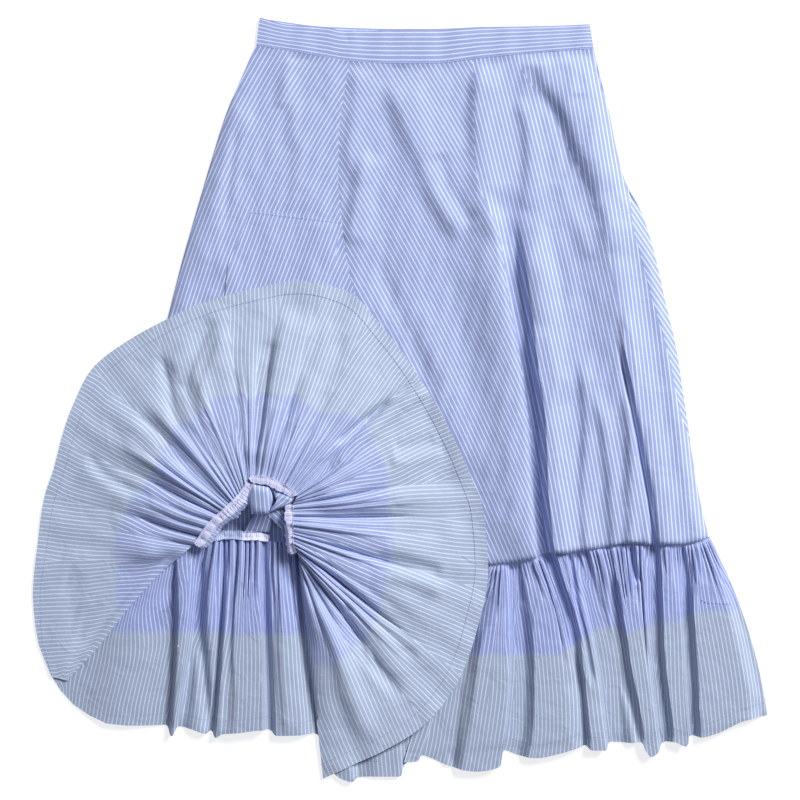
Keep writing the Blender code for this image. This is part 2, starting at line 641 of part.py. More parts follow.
def allowance(name, points, top, part, depth=SEAM_ALLOWANCE):
    """The overlocked edge that stands in from a gathered seam."""
    seam = points[part, 0]
    along = np.gradient(seam, axis=0)
    inward = np.stack([-along[:, 1], along[:, 0]], axis=-1)
    inward /= np.linalg.norm(inward, axis=-1)[:, None]
    inward *= np.sign(np.sum(inward * (seam - points[part, 3])))
    outer = 0.3
    over = seam * (1 - outer) + points[part, 1] * outer
    over_top = top[part, 0] * (1 - outer) + top[part, 1] * outer
    strip = np.stack([over, seam, seam + inward * depth / 2, seam + inward * depth], axis=1)
    low = np.stack([over_top, top[part, 0], top[part, 0] + 0.2, top[part, 0]], axis=1) + SEAM_GAP
    low[:, 2:] = heap.lift(strip[:, 2:], low[:, 2:])
    heap.add(strip, cloth(name, strip, low, OVERLOCK, 1.0))


def knot():
    """The tie that holds the drawn-up seam."""
    left = curve(to_mm(TAIL_LEFT_PX), 6)
    right = curve(to_mm(TAIL_RIGHT_PX), 6)
    across = np.linspace(0, 1, 6)[:, None, None]
    points = left[None] * (1 - across) + right[None] * across
    low = heap.lift(points, np.zeros((6, 6)), TAIL_CLEAR)
    heap.add(points, cloth("knot_tail", points, low, SHIRTING))
    rounded("knot_crossing", CROSSING_CENTRE_PX, CROSSING_SIZE, CROSSING_SPIN, SHIRTING)
    rounded("knot_wrap", WRAP_CENTRE_PX, WRAP_SIZE, 0, SHIRTING)
    loop()


def loop():
    """The tie's loop, as a tube on a curve that lies on the heap."""
    path = curve(to_mm(LOOP_PX), 9)
    line = bpy.data.curves.new("knot_loop", "CURVE")
    line.dimensions = "3D"
    line.bevel_depth = LOOP_RADIUS / 1000
    line.bevel_resolution = 2
    line.resolution_u = 2
    line.use_fill_caps = True
    spline = line.splines.new("POLY")
    spline.points.add(len(path) - 1)
    angles = np.linspace(0, 2 * np.pi, 24, endpoint=False)
    level = 0
    for share in (0.2, 0.5, 0.8, 1.0):
        ring = LOOP_RADIUS * share * np.stack([np.cos(angles), np.sin(angles)], axis=-1)
        below = LOOP_RADIUS * np.sqrt(1 - share**2)
        level = max(level, heap.level(path[:, None] + ring, below))
    for point, spot in zip(spline.points, path):
        point.co = (*spot / 1000, level / 1000, 1)
    line.materials.append(material("knot_loop", SHIRTING))
    skirt.objects.link(bpy.data.objects.new("knot_loop", line))


def clear_scene():
    for obj in list(bpy.data.objects):
        bpy.data.objects.remove(obj, do_unlink=True)


clear_scene()
skirt = bpy.data.collections.new("midi_skirt")
bpy.context.scene.collection.children.link(skirt)
heap = Heap()
back_panel()
back_points, back_top = back_ruffle()
turned_hem("hem_back", back_points, back_top, columns_between(BACK_RUFFLE, BACK_COLUMNS, 1, 22))
waist()
front_panels()
pocket()
front_ruffle()
bundle()
fan_points, fan_low, fan_top = fan()
turned_hem("hem_fan", fan_points, fan_top, slice(0, FAN_COLUMNS))
allowance("seam_back", back_points, back_top, columns_between(BACK_RUFFLE, BACK_COLUMNS, 8, 14))
for side, first, last in (("right", 1, 7), ("top", 10, 15), ("left", 16, 22)):
    part = columns_between(FAN, FAN_COLUMNS, first, last)
    allowance("seam_fan_" + side, fan_points, fan_top, part)
knot()
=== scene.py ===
"""Looks of a gathered midi skirt in striped shirting, laid flat with its left side knotted up.

Lengths in the code are in millimetres, and in metres where a name ends in M. A name that
ends in PX holds pixels of the reference photo. +X is the photo's right, +Y points to the
waist and +Z is up.
"""

from collections import namedtuple

import bpy
import numpy as np
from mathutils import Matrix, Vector


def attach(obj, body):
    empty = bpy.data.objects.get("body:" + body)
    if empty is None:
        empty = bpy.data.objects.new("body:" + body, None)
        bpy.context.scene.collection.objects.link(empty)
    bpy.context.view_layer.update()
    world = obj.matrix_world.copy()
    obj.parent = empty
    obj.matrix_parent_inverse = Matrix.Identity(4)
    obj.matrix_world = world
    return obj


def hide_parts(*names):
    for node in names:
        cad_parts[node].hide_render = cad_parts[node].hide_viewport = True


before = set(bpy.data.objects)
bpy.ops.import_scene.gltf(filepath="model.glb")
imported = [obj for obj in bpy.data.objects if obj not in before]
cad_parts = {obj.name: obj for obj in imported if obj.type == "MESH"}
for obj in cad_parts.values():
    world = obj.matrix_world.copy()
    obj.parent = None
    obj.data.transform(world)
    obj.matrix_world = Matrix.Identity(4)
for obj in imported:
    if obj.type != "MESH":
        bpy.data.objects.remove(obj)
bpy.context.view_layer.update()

# Scale: the laid waistband is 350 mm wide, and spans 337 pixels of the photo.
MM_PER_PX = 350.0 / 337.0
PHOTO_CENTRE_PX = (400.0, 399.5)
PHOTO_WIDTH_PX = 800.0

# Thicknesses and gaps of the cloth.
WALL = 0.5
BAND_WALL = 1.4
HEM_WALL = 0.16
HEM_GAP = 0.04
CLEAR = 0.9
LEAST_GAP = 0.4

# The cut of the skirt.
BAND_DEPTH = 31.0
BAND_ENDS = (-148.0, 204.0)
BACK_BAND_SHARE = 0.993
HEM_DEPTH = 13.5
SEAM_ALLOWANCE = 8.0
DARK_EDGE = 6.0
POCKET_HEM_SHARE = 0.11
STRIPE_PITCH = 4.3
STITCH_SPACING = 3.4
STITCH_LENGTH = 2.4
STITCH_WIDTH = 0.42

# How the body cloth lies: its top and length, the puff of its lower end, the roll of its
# sides, how far the waist seam holds it down, and how the gathered seam draws it in.
BODY_TOP = 370.0
BODY_LENGTH = 540.0
BODY_PUFF = 6.5
BODY_FLOOR = 1.5
BODY_CLEAR = 0.25
BODY_GIVE = 0.6
EDGE_ROLL = 16.0
WAIST_HOLD = 15.0
SEAM_SQUEEZE = 0.40
SEAM_SQUEEZE_REACH = 1.6

# How gathers vary: how unevenly a lobe is cut into them, how far they sway, how high they
# stand for their fullness, how their heights spread, and where a wide one lies flat.
EDGE_POINTS = 1600
CUT_LUCK = 0.36
SWAY = 1.8
GATHER_RISE = 0.62
GATHER_SPREAD = (0.45, 1.3)
GATHER_FADE = 0.42
WIDEST_GATHER = 60.0
VALLEY_WIDTH = 2.5
VALLEY_WIDENS = 3.5
STRIPE_SHIFT = 37.0
DYE_STEP = 5.0

# How far above the pale dye the cloth of the body counts as, and the X past which the back
# ruffle goes flat under the front one.
FAR_ABOVE_DYE_EDGE = -60.0
BACK_RUFFLE_UNDER_X = 35.0

# The paper, the light and the lens.
FLOOR_REACH_M = 6.0
FLOOR_DROP_M = 0.0004
PAPER_GREY = (0.3, 0.3, 0.3, 1)
PAPER_GLOW = 0.76
SKY = (0.86, 0.91, 1.14, 1)
SKY_STRENGTH = 0.235
KEY_PLACE_M = (3.0, 3.1, 3.5)
KEY_SIZE_M = 1.8
KEY_WATTS = 432
LENS = 85
SENSOR = 36
CAMERA_Y_M = -0.0005
CLOTH_LEVEL_M = 0.006

# Curves on the photo, read from the waist down or from left to right.
LEFT_SIDE_PX = (
    (253, 50), (243, 73), (226, 113), (211, 160), (196, 211), (182, 260), (167, 318), (158, 350),
)
FRONT_SEAM_PX = (
    (350.5, 61.5), (344, 93), (339, 133), (338, 180), (340, 205), (344, 240), (350.5, 278),
    (360, 304), (373, 338),
)
CENTRE_HIDDEN_EDGE_PX = ((385, 380), (400, 430), (425, 490), (458, 552))
RIGHT_SIDE_PX = ((594.5, 50), (598, 75), (608, 105), (617, 149), (625, 179), (630, 194))
GORE_SEAM_PX = ((631.5, 219), (638, 247), (653, 302), (668, 355), (679, 406), (689.5, 440))
RUFFLE_SIDE_PX = ((694, 463), (699, 492), (705, 520), (709.5, 537))
GORE_FOLD_PX = (
    (632, 194), (641, 210), (655, 253), (666, 302), (676, 344), (684.5, 398), (690.5, 439),
)
BAND_TOP_PX = (
    (259.5, 17), (286, 24), (326, 27), (342, 30), (392, 30), (430, 30), (486, 27), (529, 26),
    (590, 24),
)
BAND_FOOT_PX = (
    (256, 45), (288, 50), (317, 55), (351, 60.5), (392, 63), (430, 63), (486, 57), (529, 53),
    (594, 48),
)
BACK_BAND_TOP_PX = ((262, 18), (326, 26), (400, 28), (430, 28), (486, 26), (588, 25))
BAND_JOIN_X_PX = 350.5
LEFT_PANEL_FOOT_PX = ((158, 350), (200, 356), (240, 358), (300, 352), (345, 345), (373, 338))
CENTRE_PANEL_FOOT_PX = (
    (458, 552), (475, 562), (490, 565), (503, 564), (525, 560.5), (536, 558), (548, 553),
    (563, 553.5), (577, 551), (601, 548), (630, 543), (653, 545), (681, 545), (700, 541),
    (709.5, 537),
)
BACK_LEFT_PX = (
    (253, 50), (243, 73), (226, 113), (211, 160), (196, 211), (167, 318), (150, 400), (160, 500),
    (200, 543),
)
BACK_RIGHT_PX = (
    (594.5, 50), (608, 105), (617, 149), (630, 194), (655, 253), (666, 302), (676, 344),
    (684.5, 398), (694, 463), (707, 537),
)
BACK_FOOT_PX = (
    (200, 543), (300, 544), (400, 547), (500, 551), (560, 548), (620, 544), (670, 542), (707, 537),
)
POCKET_LEFT_PX = ((252, 211), (240, 240), (229, 262), (225, 298), (224, 322))
POCKET_RIGHT_PX = ((341, 221.5), (338, 241), (334.5, 260), (328, 278), (316, 322))

BAR_TACK_PX = ((620, 213.5), (628, 212.5))
SIDE_STITCH_PX = ((701, 600), (708, 602.5), (718, 603), (729, 603.5))
# Where the back allowance's overlock starts. Left of it the allowance is coloured violet, partly as cloth
# with no overlock and partly as painted shade from the fan's allowance above it.
SERGED_FROM_PX = (243, 534)
BACK_HEM_END_PX = (380, 777)
BAND_STITCH_PX = (
    (258, 44), (288, 48.5), (317, 53.5), (351, 59), (392, 61.5), (430, 61.5), (486, 55.5),
    (529, 51.5), (592, 46.5),
)

# Two creases part the centre panel's stripes: the edge that lies over the deep fold, and
# the long valley.
DEEP_FOLD_PX = (
    (473, 61), (474, 89), (474, 155), (482, 195), (499, 235), (509, 299), (520, 355), (530, 422),
    (540, 489), (545, 556),
)
LONG_VALLEY_PX = (
    (513, 57), (532, 85), (549, 99), (562, 135), (582, 175), (599, 222), (612, 275), (622, 339),
    (631, 389), (643, 455), (654, 522), (657, 545),
)

# How much closer the centre panel's points lie at the ends of each of its three strips.
CLOSE_UP = (0.5, 0.65, 0.6)

# The lean of the stripes at places on the photo, in degrees from upright, with the foot
# of a stripe to the right where it is positive.
Lean = namedtuple("Lean", "x y lean")
LEFT_OF_FOLD_LEANS = (
    Lean(370, 90, 36), Lean(400, 90, 33), Lean(390, 200, 30), Lean(380, 290, 30),
    Lean(440, 150, 29), Lean(460, 120, 26), Lean(470, 210, 25), Lean(430, 300, 30),
    Lean(490, 290, 26), Lean(440, 400, 30), Lean(500, 360, 24), Lean(515, 450, 24),
)
MIDDLE_LEANS = (
    Lean(495, 90, 17), Lean(520, 90, 16), Lean(510, 150, 15), Lean(550, 160, 14),
    Lean(510, 220, 13), Lean(570, 230, 12), Lean(540, 300, 10), Lean(590, 300, 10),
    Lean(545, 430, 14), Lean(590, 400, 11), Lean(570, 500, 13), Lean(620, 500, 10),
)
RIGHT_OF_VALLEY_LEANS = (
    Lean(540, 70, 9), Lean(570, 90, 10), Lean(600, 140, 11), Lean(610, 220, 7),
    Lean(640, 300, 7), Lean(650, 380, 6), Lean(660, 450, 5), Lean(690, 510, 5),
)
LEFT_PANEL_LEANS = (
    Lean(230, 160, -19), Lean(210, 220, -17), Lean(190, 290, -16), Lean(245, 120, -26),
    Lean(300, 90, -31), Lean(325, 150, -32), Lean(280, 180, -30), Lean(330, 250, -31),
    Lean(230, 260, -22), Lean(290, 60, -30),
)
POCKET_LEANS = (Lean(240, 240, -20), Lean(300, 240, -21), Lean(260, 300, -21), Lean(320, 300, -21))
GORE_LEANS = (Lean(645, 240, 35), Lean(665, 330, 36), Lean(680, 400, 37))

# Creases worn into the cloth. A ridge rises and a valley sinks along a line, and left and
# right are its widths on each side of that line.
Fold = namedtuple("Fold", "name rise left right points_px")
BODY_FOLDS = (
    Fold("side_diagonal", 6.5, 12, 30, ((388, 78), (404, 112), (422, 160), (442, 205), (468, 240))),
    Fold("side_diagonal_low", -3.5, 12, 9, ((438, 150), (446, 180), (458, 205), (474, 228))),
    Fold("crease_shoulder", 7.0, 13, 26, ((484, 56), (478, 90), (477, 150), (484, 200), (498, 250))),
    Fold("crease_hollow", -2.0, 9, 8, ((474, 50), (468, 85), (468, 130), (474, 180))),
    Fold("deep_fold_edge", 9.0, 34, 4.0, ((482, 190), (496, 242), (504, 299), (514, 355), (524, 422),
                                          (530, 489), (536, 600))),
    Fold("deep_fold_start", -6.5, 8, 18, ((494, 185), (506, 222), (515, 258), (524, 305), (533, 350))),
    Fold("deep_fold_trough", -22.0, 6, 5, ((508, 250), (518, 300), (527, 355), (535, 422), (538, 489),
                                           (544, 549), (550, 610))),
    Fold("right_of_deep_fold", 13.0, 5, 22, ((520, 215), (529, 290), (537, 355), (546, 422),
                                            (549, 489), (555, 549), (561, 610))),
    Fold("deep_fold_shoulder", 4.5, 16, 30, ((520, 200), (532, 245), (542, 292), (550, 345), (558, 410))),
    Fold("small_shoulder", 4.2, 7, 14, ((518, 95), (528, 130), (530, 170), (524, 215))),
    Fold("long_shoulder_top", 8.0, 18, 30, ((524, 40), (545, 78), (566, 108), (583, 150), (601, 195),
                                            (618, 262))),
    Fold("long_hollow", -2.6, 9, 8, ((540, 84), (562, 128), (574, 160), (592, 205), (604, 240))),
    Fold("long_hollow_side", -2.2, 7, 8, ((530, 62), (540, 92), (556, 118), (566, 150), (570, 180))),
    Fold("patch_high", 2.2, 10, 8, ((560, 175), (566, 200), (580, 232), (590, 262))),
    Fold("patch_low", -2.0, 8, 8, ((545, 215), (552, 245), (560, 280), (562, 310))),
    Fold("long_shoulder_foot", 9.5, 40, 24, ((598, 190), (612, 250), (622, 310), (633, 372),
                                            (646, 440), (658, 505), (665, 600))),
    Fold("long_trough", -9.0, 3.5, 3.5, ((616, 340), (624, 372), (630, 405), (640, 455), (651, 520),
                                      (655, 600))),
    Fold("upper_right_shoulder", 2.6, 10, 16, ((576, 54), (592, 95), (595, 150), (608, 195))),
    Fold("side_shoulder", 3.6, 12, 10, ((642, 222), (657, 290), (668, 340), (676, 392))),
    Fold("low_side_shoulder", 4.2, 14, 10, ((666, 362), (684, 440), (696, 500), (704, 565))),
    Fold("low_small_left", 5.0, 5, 14, ((578, 350), (586, 410), (584, 500), (592, 590))),
    Fold("low_small_middle", 4.6, 5, 10, ((594, 385), (606, 450), (612, 520), (614, 600))),
    Fold("low_small_right", 4.6, 6, 8, ((622, 300), (630, 400), (630, 500), (628, 590))),
    Fold("broad_soft", 4.0, 26, 18, ((494, 245), (500, 340), (505, 430), (508, 565))),
    Fold("beside_fan_hollow", -3.0, 10, 10, ((376, 250), (392, 300), (416, 350), (440, 400))),
    Fold("beside_fan", 4.0, 20, 26, ((385, 295), (412, 335), (446, 400), (480, 484))),
    Fold("left_seam_soft", 3.0, 9, 16, ((358, 60), (356, 100), (350, 150), (358, 190))),
    Fold("pocket_corner_soft", 3.8, 9, 14, ((372, 150), (362, 180), (356, 214), (354, 250))),
    Fold("left_panel_line", 2.0, 8, 20, ((296, 96), (297, 160), (292, 216))),
    Fold("left_panel_slit", -1.6, 5, 5, ((238, 126), (232, 160), (228, 200), (222, 262))),
    Fold("left_edge_soft", 2.6, 14, 26, ((243, 90), (226, 150), (212, 215), (196, 285))),
    Fold("pocket_right_soft", 2.4, 18, 14, ((330, 218), (322, 260), (308, 306))),
    Fold("under_band_left", 1.8, 8, 10, ((292, 54), (286, 80), (280, 110))),
    Fold("under_band_right", 1.8, 7, 9, ((566, 50), (572, 75), (578, 100))),
)
BAND_FOLDS = (
    Fold("tuck", -0.5, 3, 5, ((342, 24), (344, 30), (347, 38), (350, 46))),
    Fold("band_soft", -0.5, 8, 8, ((273, 22), (273, 50))),
)
FAN_FOLDS = (
    Fold("top_ridge", 6.0, 11, 24, ((295, 305), (281, 350), (270, 400), (261, 450), (257, 474))),
    Fold("top_left_hollow", -4.0, 9, 7, ((272, 335), (266, 365), (259, 400), (256, 455))),
    Fold("top_dent", -3.0, 12, 5, ((214, 318), (200, 345), (190, 372), (186, 398))),
    Fold("top_dent_ridge", 2.6, 6, 16, ((228, 325), (214, 362), (202, 400), (210, 440))),
    Fold("top_right_crease", 2.6, 6, 14, ((330, 315), (322, 350), (306, 392), (288, 440))),
    Fold("top_right_hollow", -2.4, 8, 6, ((345, 330), (336, 362), (318, 402), (300, 445))),
    Fold("slit_near_hem", -9.0, 3, 4, ((335, 446), (350, 433), (376, 412), (418, 382), (430, 374))),
    Fold("right_of_slit", 5.0, 6, 18, ((330, 474), (365, 436), (405, 404), (440, 384))),
    Fold("left_wedge", -4.0, 7, 4, ((160, 352), (168, 380), (175, 408), (188, 436))),
    Fold("left_wedge_ridge", 2.8, 5, 14, ((172, 350), (181, 380), (190, 410), (204, 440))),
    Fold("far_left_crease", -2.0, 6, 5, ((84, 452), (106, 474), (128, 486), (156, 496))),
    Fold("far_left_ridge", 1.6, 12, 7, ((78, 466), (104, 486), (132, 500))),
    Fold("left_rim_crease", -2.6, 5, 6, ((66, 560), (72, 590), (78, 618), (92, 632))),
    Fold("left_crease", -2.3, 8, 7, ((135, 412), (160, 430), (185, 455), (210, 487), (224, 507))),
    Fold("left_crease_ridge", 1.8, 12, 8, ((120, 440), (160, 462), (200, 500))),
    Fold("low_left_crease", -1.8, 8, 7, ((108, 480), (150, 500), (200, 528))),
    Fold("low_left_hollow", -3.5, 10, 10, ((50, 622), (95, 632), (135, 606), (175, 566))),
    Fold("above_crease", -4.0, 8, 8, ((192, 540), (165, 561), (130, 596), (97, 634), (68, 664))),
    Fold("left_corner_ridge", 2.0, 14, 14, ((60, 560), (110, 565), (165, 550))),
    Fold("right_valley", -2.5, 8, 9, ((300, 514), (345, 515), (420, 528), (455, 532))),
    Fold("right_short", -2.6, 6, 6, ((392, 448), (412, 446), (436, 438))),
    Fold("right_short_ridge", 2.4, 6, 8, ((388, 462), (414, 460), (446, 450))),
    Fold("right_low", -2.6, 7, 6, ((372, 556), (402, 560), (444, 572))),
    Fold("right_low_ridge", 2.6, 7, 10, ((368, 572), (402, 578), (446, 592))),
    Fold("low_right_outer", -2.8, 7, 7, ((352, 600), (382, 628), (418, 662))),
    Fold("right_ridge", 2.5, 12, 12, ((310, 497), (370, 492), (440, 486))),
    Fold("low_right_slit", -4.5, 6, 8, ((300, 562), (315, 590), (344, 628), (365, 655), (405, 702))),
    Fold("low_right_short", -2.5, 6, 7, ((318, 560), (340, 582), (352, 616))),
    Fold("low_right_roll", 3.0, 10, 12, ((310, 590), (330, 640), (352, 700), (368, 745))),
)
RIGHT_RUFFLE_FOLDS = (
    Fold("short_dark", -5.0, 3, 4, ((517, 560), (518, 580), (520, 606))),
    Fold("slim_dark", -5.0, 3, 5, ((510, 640), (513, 693), (511, 775))),
    Fold("near_fan_dark", -4.5, 4, 6, ((470, 590), (458, 640), (454, 700), (452, 790))),
    Fold("bright_crest", 4.0, 10, 14, ((486, 610), (482, 680), (480, 790))),
    Fold("dark_slope", 6.0, 3.5, 12, ((540, 590), (539, 633), (538, 690), (537, 775))),
    Fold("from_deep_fold", -9.0, 4, 4, ((546, 525), (550, 553), (560, 586), (573, 626), (580, 660))),
    Fold("right_of_it", 4.0, 3, 9, ((556, 540), (566, 580), (582, 636), (588, 690))),
    Fold("second_dark", -8.0, 3, 4, ((569, 540), (576, 600), (586, 643), (593, 690))),
    Fold("third_dark", -6.0, 2.5, 3, ((584, 540), (587, 560), (590, 585))),
    Fold("wide_dark", -9.0, 5, 7, ((612, 570), (618, 625), (624, 670), (633, 706), (643, 765))),
    Fold("beside_wide_dark", 4.0, 4, 9, ((628, 590), (634, 650), (644, 700), (654, 765))),
    Fold("fourth_dark", -5.0, 3, 3, ((629, 535), (633, 560), (638, 585))),
    Fold("long_black", -9.0, 3, 4, ((655, 525), (656, 583), (660, 660), (666, 700), (674, 765))),
    Fold("right_of_long_black", 4.0, 4, 10, ((663, 560), (668, 640), (676, 700), (684, 765))),
    Fold("last_black", -8.0, 3, 5, ((684, 545), (686, 600), (687, 643), (693, 700), (702, 765))),
    Fold("last_ridge", 4.0, 5, 14, ((697, 570), (700, 640), (708, 700), (716, 765))),
)
LOWER_RUFFLE_FOLDS = (
    Fold("left_dark", -4.0, 4, 5, ((176, 560), (172, 620), (168, 690), (165, 740))),
    Fold("left_fold", 5.0, 4, 6, ((184, 560), (180, 650), (176, 745))),
    Fold("black_hole", -7.0, 6, 6, ((197, 545), (197, 600), (202, 650), (210, 745))),
    Fold("slim_fold", 3.0, 4, 5, ((226, 560), (222, 640), (218, 745))),
    Fold("broad_lobe", 4.0, 9, 14, ((246, 590), (246, 660), (246, 745))),
    Fold("dark_line", -6.0, 3, 4, ((263, 545), (266, 600), (268, 660), (269, 745))),
    Fold("right_lobe", 3.0, 5, 12, ((278, 570), (282, 650), (288, 745))),
    Fold("beside_fan", -4.0, 6, 6, ((292, 560), (302, 620), (310, 690), (314, 745))),
)
# Small uneven waves all over a piece, with their height, and how wide and long they are.
Ripple = namedtuple("Ripple", "seed height wide long")
BODY_RIPPLES = (Ripple(3, 0.5, 28, 80), Ripple(4, 0.32, 11, 24))
BAND_RIPPLE = Ripple(5, 0.8, 17, 70)
BUNDLE_RIPPLE = Ripple(8, 0.8, 12, 30)

# Stretches of ruffle. One row is one line from the gathered seam to the hem, with the
# height of the cloth at both ends and the sideways bow at half way.
Line = namedtuple("Line", "seam_x seam_y seam_z hem_x hem_y hem_z bow")
FRONT_RUFFLE = (
    Line(462, 556, 3, 404, 763, 3, 0),
    Line(474, 563, 3, 418, 762, 4, 0),
    Line(483, 565, 3, 421.5, 756, 2, 0),
    Line(490, 565, 5, 451, 767, 6, 0),
    Line(497, 564.5, 6, 476, 771, 10, 2),
    Line(502, 564, 6, 499, 766.5, 9, 6),
    Line(505, 564, 4, 505, 751, 2, 7),
    Line(512, 562.5, 5, 520, 756, 5, 8),
    Line(521, 561, 6, 537, 757.5, 10, 10),
    Line(533, 559, 7, 560, 753, 9, 10),
    Line(538, 556, 5, 580, 747, 7, 10),
    Line(545, 554, 3.5, 585, 746, 4, 10),
    Line(555, 553, 6, 592, 750, 8.5, 8),
    Line(570, 552, 6, 605, 750, 8, 6),
    Line(577, 551, 4, 611, 742.5, 2, 6),
    Line(592, 548.5, 6, 628, 743, 6, 4),
    Line(605, 547, 6, 641, 742, 10, 3),
    Line(612, 546, 6, 645, 750, 10, 1),
    Line(624, 545, 6, 651, 756.5, 9, 0),
    Line(640, 543, 6, 658, 752, 7, -1),
    Line(652, 543, 3.5, 664, 743, 2.5, -2),
    Line(660, 545, 7, 673, 741.5, 10, -1),
    Line(674, 545, 7, 685, 746, 9, 0),
    Line(682, 545, 4, 692, 736, 3, 1),
    Line(690, 543, 6, 700, 737, 10, 3),
    Line(696, 542, 6, 715, 733.5, 10, 3),
    Line(702, 541, 6, 745, 720, 9, 7),
    Line(709.5, 537, 3, 768, 716, 3, 9),
)
BACK_RUFFLE = (
    Line(60, 678, 0, 49, 674, 0, 0),
    Line(72, 668, 2, 62, 694, 1, 0),
    Line(94, 646, 4.5, 82, 712, 2, 0),
    Line(125, 606, 7, 115, 725, 4, 0),
    Line(150, 578, 9, 142, 726, 3, 0),
    Line(176, 556, 10, 165, 725.5, 0.5, 0),
    Line(195, 541, 12, 172, 736, 5, 0),
    Line(206, 545, 7, 178, 727, 0, 0),
    Line(212, 544, 7, 192, 729.5, 4, 0),
    Line(219, 543, 6, 206, 733.5, 5, 2),
    Line(224, 542, 3, 210, 731, 0, 3),
    Line(229, 542, 5, 216, 737.5, 5, 3),
    Line(234, 542, 4, 222, 734, 5, 2),
    Line(246, 543, 5, 240, 732, 7, 0),
    Line(258, 543, 5, 262, 729.5, 7, 0),
    Line(264, 544, 1, 268, 730, 0, -1),
    Line(272, 545, 4, 277, 735.5, 5, 0),
    Line(285, 546, 4, 300, 735, 5, 0),
    Line(296, 547, 1, 314, 734, 2, 0),
    Line(316, 547, 1, 336, 776, 3, 0),
    Line(330, 548, 1, 352, 782, 4, 0),
    Line(340, 548, 0, 358, 778, 1, 0),
    Line(360, 549, 1, 380, 777, 3, 0),
    Line(385, 549, 1, 400, 777, 3, 0),
    Line(400, 550, 0, 405, 765, 0.5, 0),
    Line(450, 552, 0, 440, 750, 0.5, 0),
    Line(500, 554, 0, 500, 742, 0, 0),
    Line(560, 551, 0, 570, 738, 0.5, 0),
    Line(620, 547, 0, 640, 732, 0, 0),
    Line(670, 545, 0, 700, 727, 0.5, 0),
    Line(707, 540, 0, 764, 711, 0, 6),
)
FAN = (
    Line(299, 561, 9, 323, 779, 3, 0),
    Line(300, 559, 13, 346, 768, 6, 0),
    Line(300, 556, 17, 382, 751, 9, 0),
    Line(298, 552, 20, 423, 725, 10, 0),
    Line(295.5, 547, 22, 459, 679, 10, 0),
    Line(294, 540, 25, 478, 625, 10, 0),
    Line(294, 531, 26, 488, 571, 9, 0),
    Line(294, 518, 27, 484, 515, 8, 0),
    Line(294, 505, 27, 470, 474, 8, 0),
    Line(298, 494, 28, 448, 426, 8, 0),
    Line(291, 486.5, 28, 423, 383, 8, 0),
    Line(282, 481.5, 29, 385, 330, 8, 0),
    Line(274, 478, 29, 346, 291, 8, 0),
    Line(266, 475.5, 29, 301, 281, 7, 0),
    Line(259, 475, 29, 248, 290, 7, 0),
    Line(252.5, 476.5, 28, 200, 304, 6, 0),
    Line(248, 483, 28, 167, 319, 4, 0),
    Line(240.5, 494, 27, 125, 342, 2, 0),
    Line(232.5, 502, 27, 91, 369, 1, 0),
    Line(225.5, 508.5, 26, 74, 401, 1, 0),
    Line(219, 514, 25, 63, 431, 1, 0),
    Line(209.5, 523.5, 24, 53, 469, 1, 0),
    Line(196, 542, 18, 43, 500, 1, 0),
    Line(162, 572, 13.5, 36, 552, 1, 0),
    Line(128, 609, 10, 32, 594, 1, 0),
    Line(97, 649, 6.5, 37, 641, 1, 0),
    Line(67, 681, 3, 51, 677, 1, 0),
)

# The main valleys of a ruffle, in the order of its lines. depth is at the seam, reach is
# the share of the way to the hem that it runs, and gathers is the count of small gathers
# between it and the next valley.
Valley = namedtuple("Valley", "seam_x seam_y hem_x hem_y depth reach gathers")
FAN_VALLEYS = (
    Valley(298, 561, 323, 779, 0, 1, 3),
    Valley(297, 558, 425, 723, 4, 0.8, 4),
    Valley(291, 548, 462, 675, 4, 0.9, 4),
    Valley(289, 533, 487, 590, 3.5, 0.9, 4),
    Valley(289, 515, 485, 520, 3, 0.8, 3),
    Valley(291, 503, 470, 474, 3, 0.8, 5),
    Valley(294, 494, 416, 374, 4, 1.0, 4),
    Valley(284, 487, 372, 314, 3, 0.6, 4),
    Valley(270, 480, 325, 281, 3, 0.6, 3),
    Valley(257, 479, 282, 282, 5, 0.9, 3),
    Valley(252, 481, 225, 296, 2.5, 0.6, 5),
    Valley(243, 497, 150, 329, 2, 0.6, 4),
    Valley(234, 505, 92, 368, 2.5, 0.7, 4),
    Valley(222, 516, 60, 440, 2.5, 0.6, 3),
    Valley(205, 538, 47, 492, 3.5, 0.6, 2),
    Valley(175, 563, 36, 560, 2, 0.5, 1),
    Valley(67, 681, 51, 677, 0, 1, 0),
)
FRONT_VALLEYS = (
    Valley(462, 556, 404, 763, 0, 1, 3),
    Valley(483, 565, 421.5, 756, 4, 1, 7),
    Valley(511, 564, 507, 751, 5, 1, 9),
    Valley(545, 554, 585, 746, 5, 1, 8),
    Valley(577, 551, 611, 742.5, 5, 1, 16),
    Valley(652, 543, 664, 743, 6, 1, 8),
    Valley(682, 545, 692, 736, 5, 1, 8),
    Valley(709.5, 537, 768, 716, 0, 1, 0),
)
BACK_VALLEYS = (
    Valley(60, 678, 49, 674, 0, 1, 1),
    Valley(176, 556, 165, 725.5, 2, 1, 2),
    Valley(206, 545, 178, 727, 3, 1, 3),
    Valley(224, 542, 210, 731, 3, 1, 6),
    Valley(264, 544, 268, 730, 3, 1, 5),
    Valley(296, 547, 314, 734, 2, 1, 4),
    Valley(340, 548, 358, 778, 2, 1, 4),
    Valley(400, 550, 405, 765, 2, 1, 12),
    Valley(620, 547, 640, 732, 1, 1, 6),
    Valley(707, 540, 764, 711, 0, 1, 0),
)

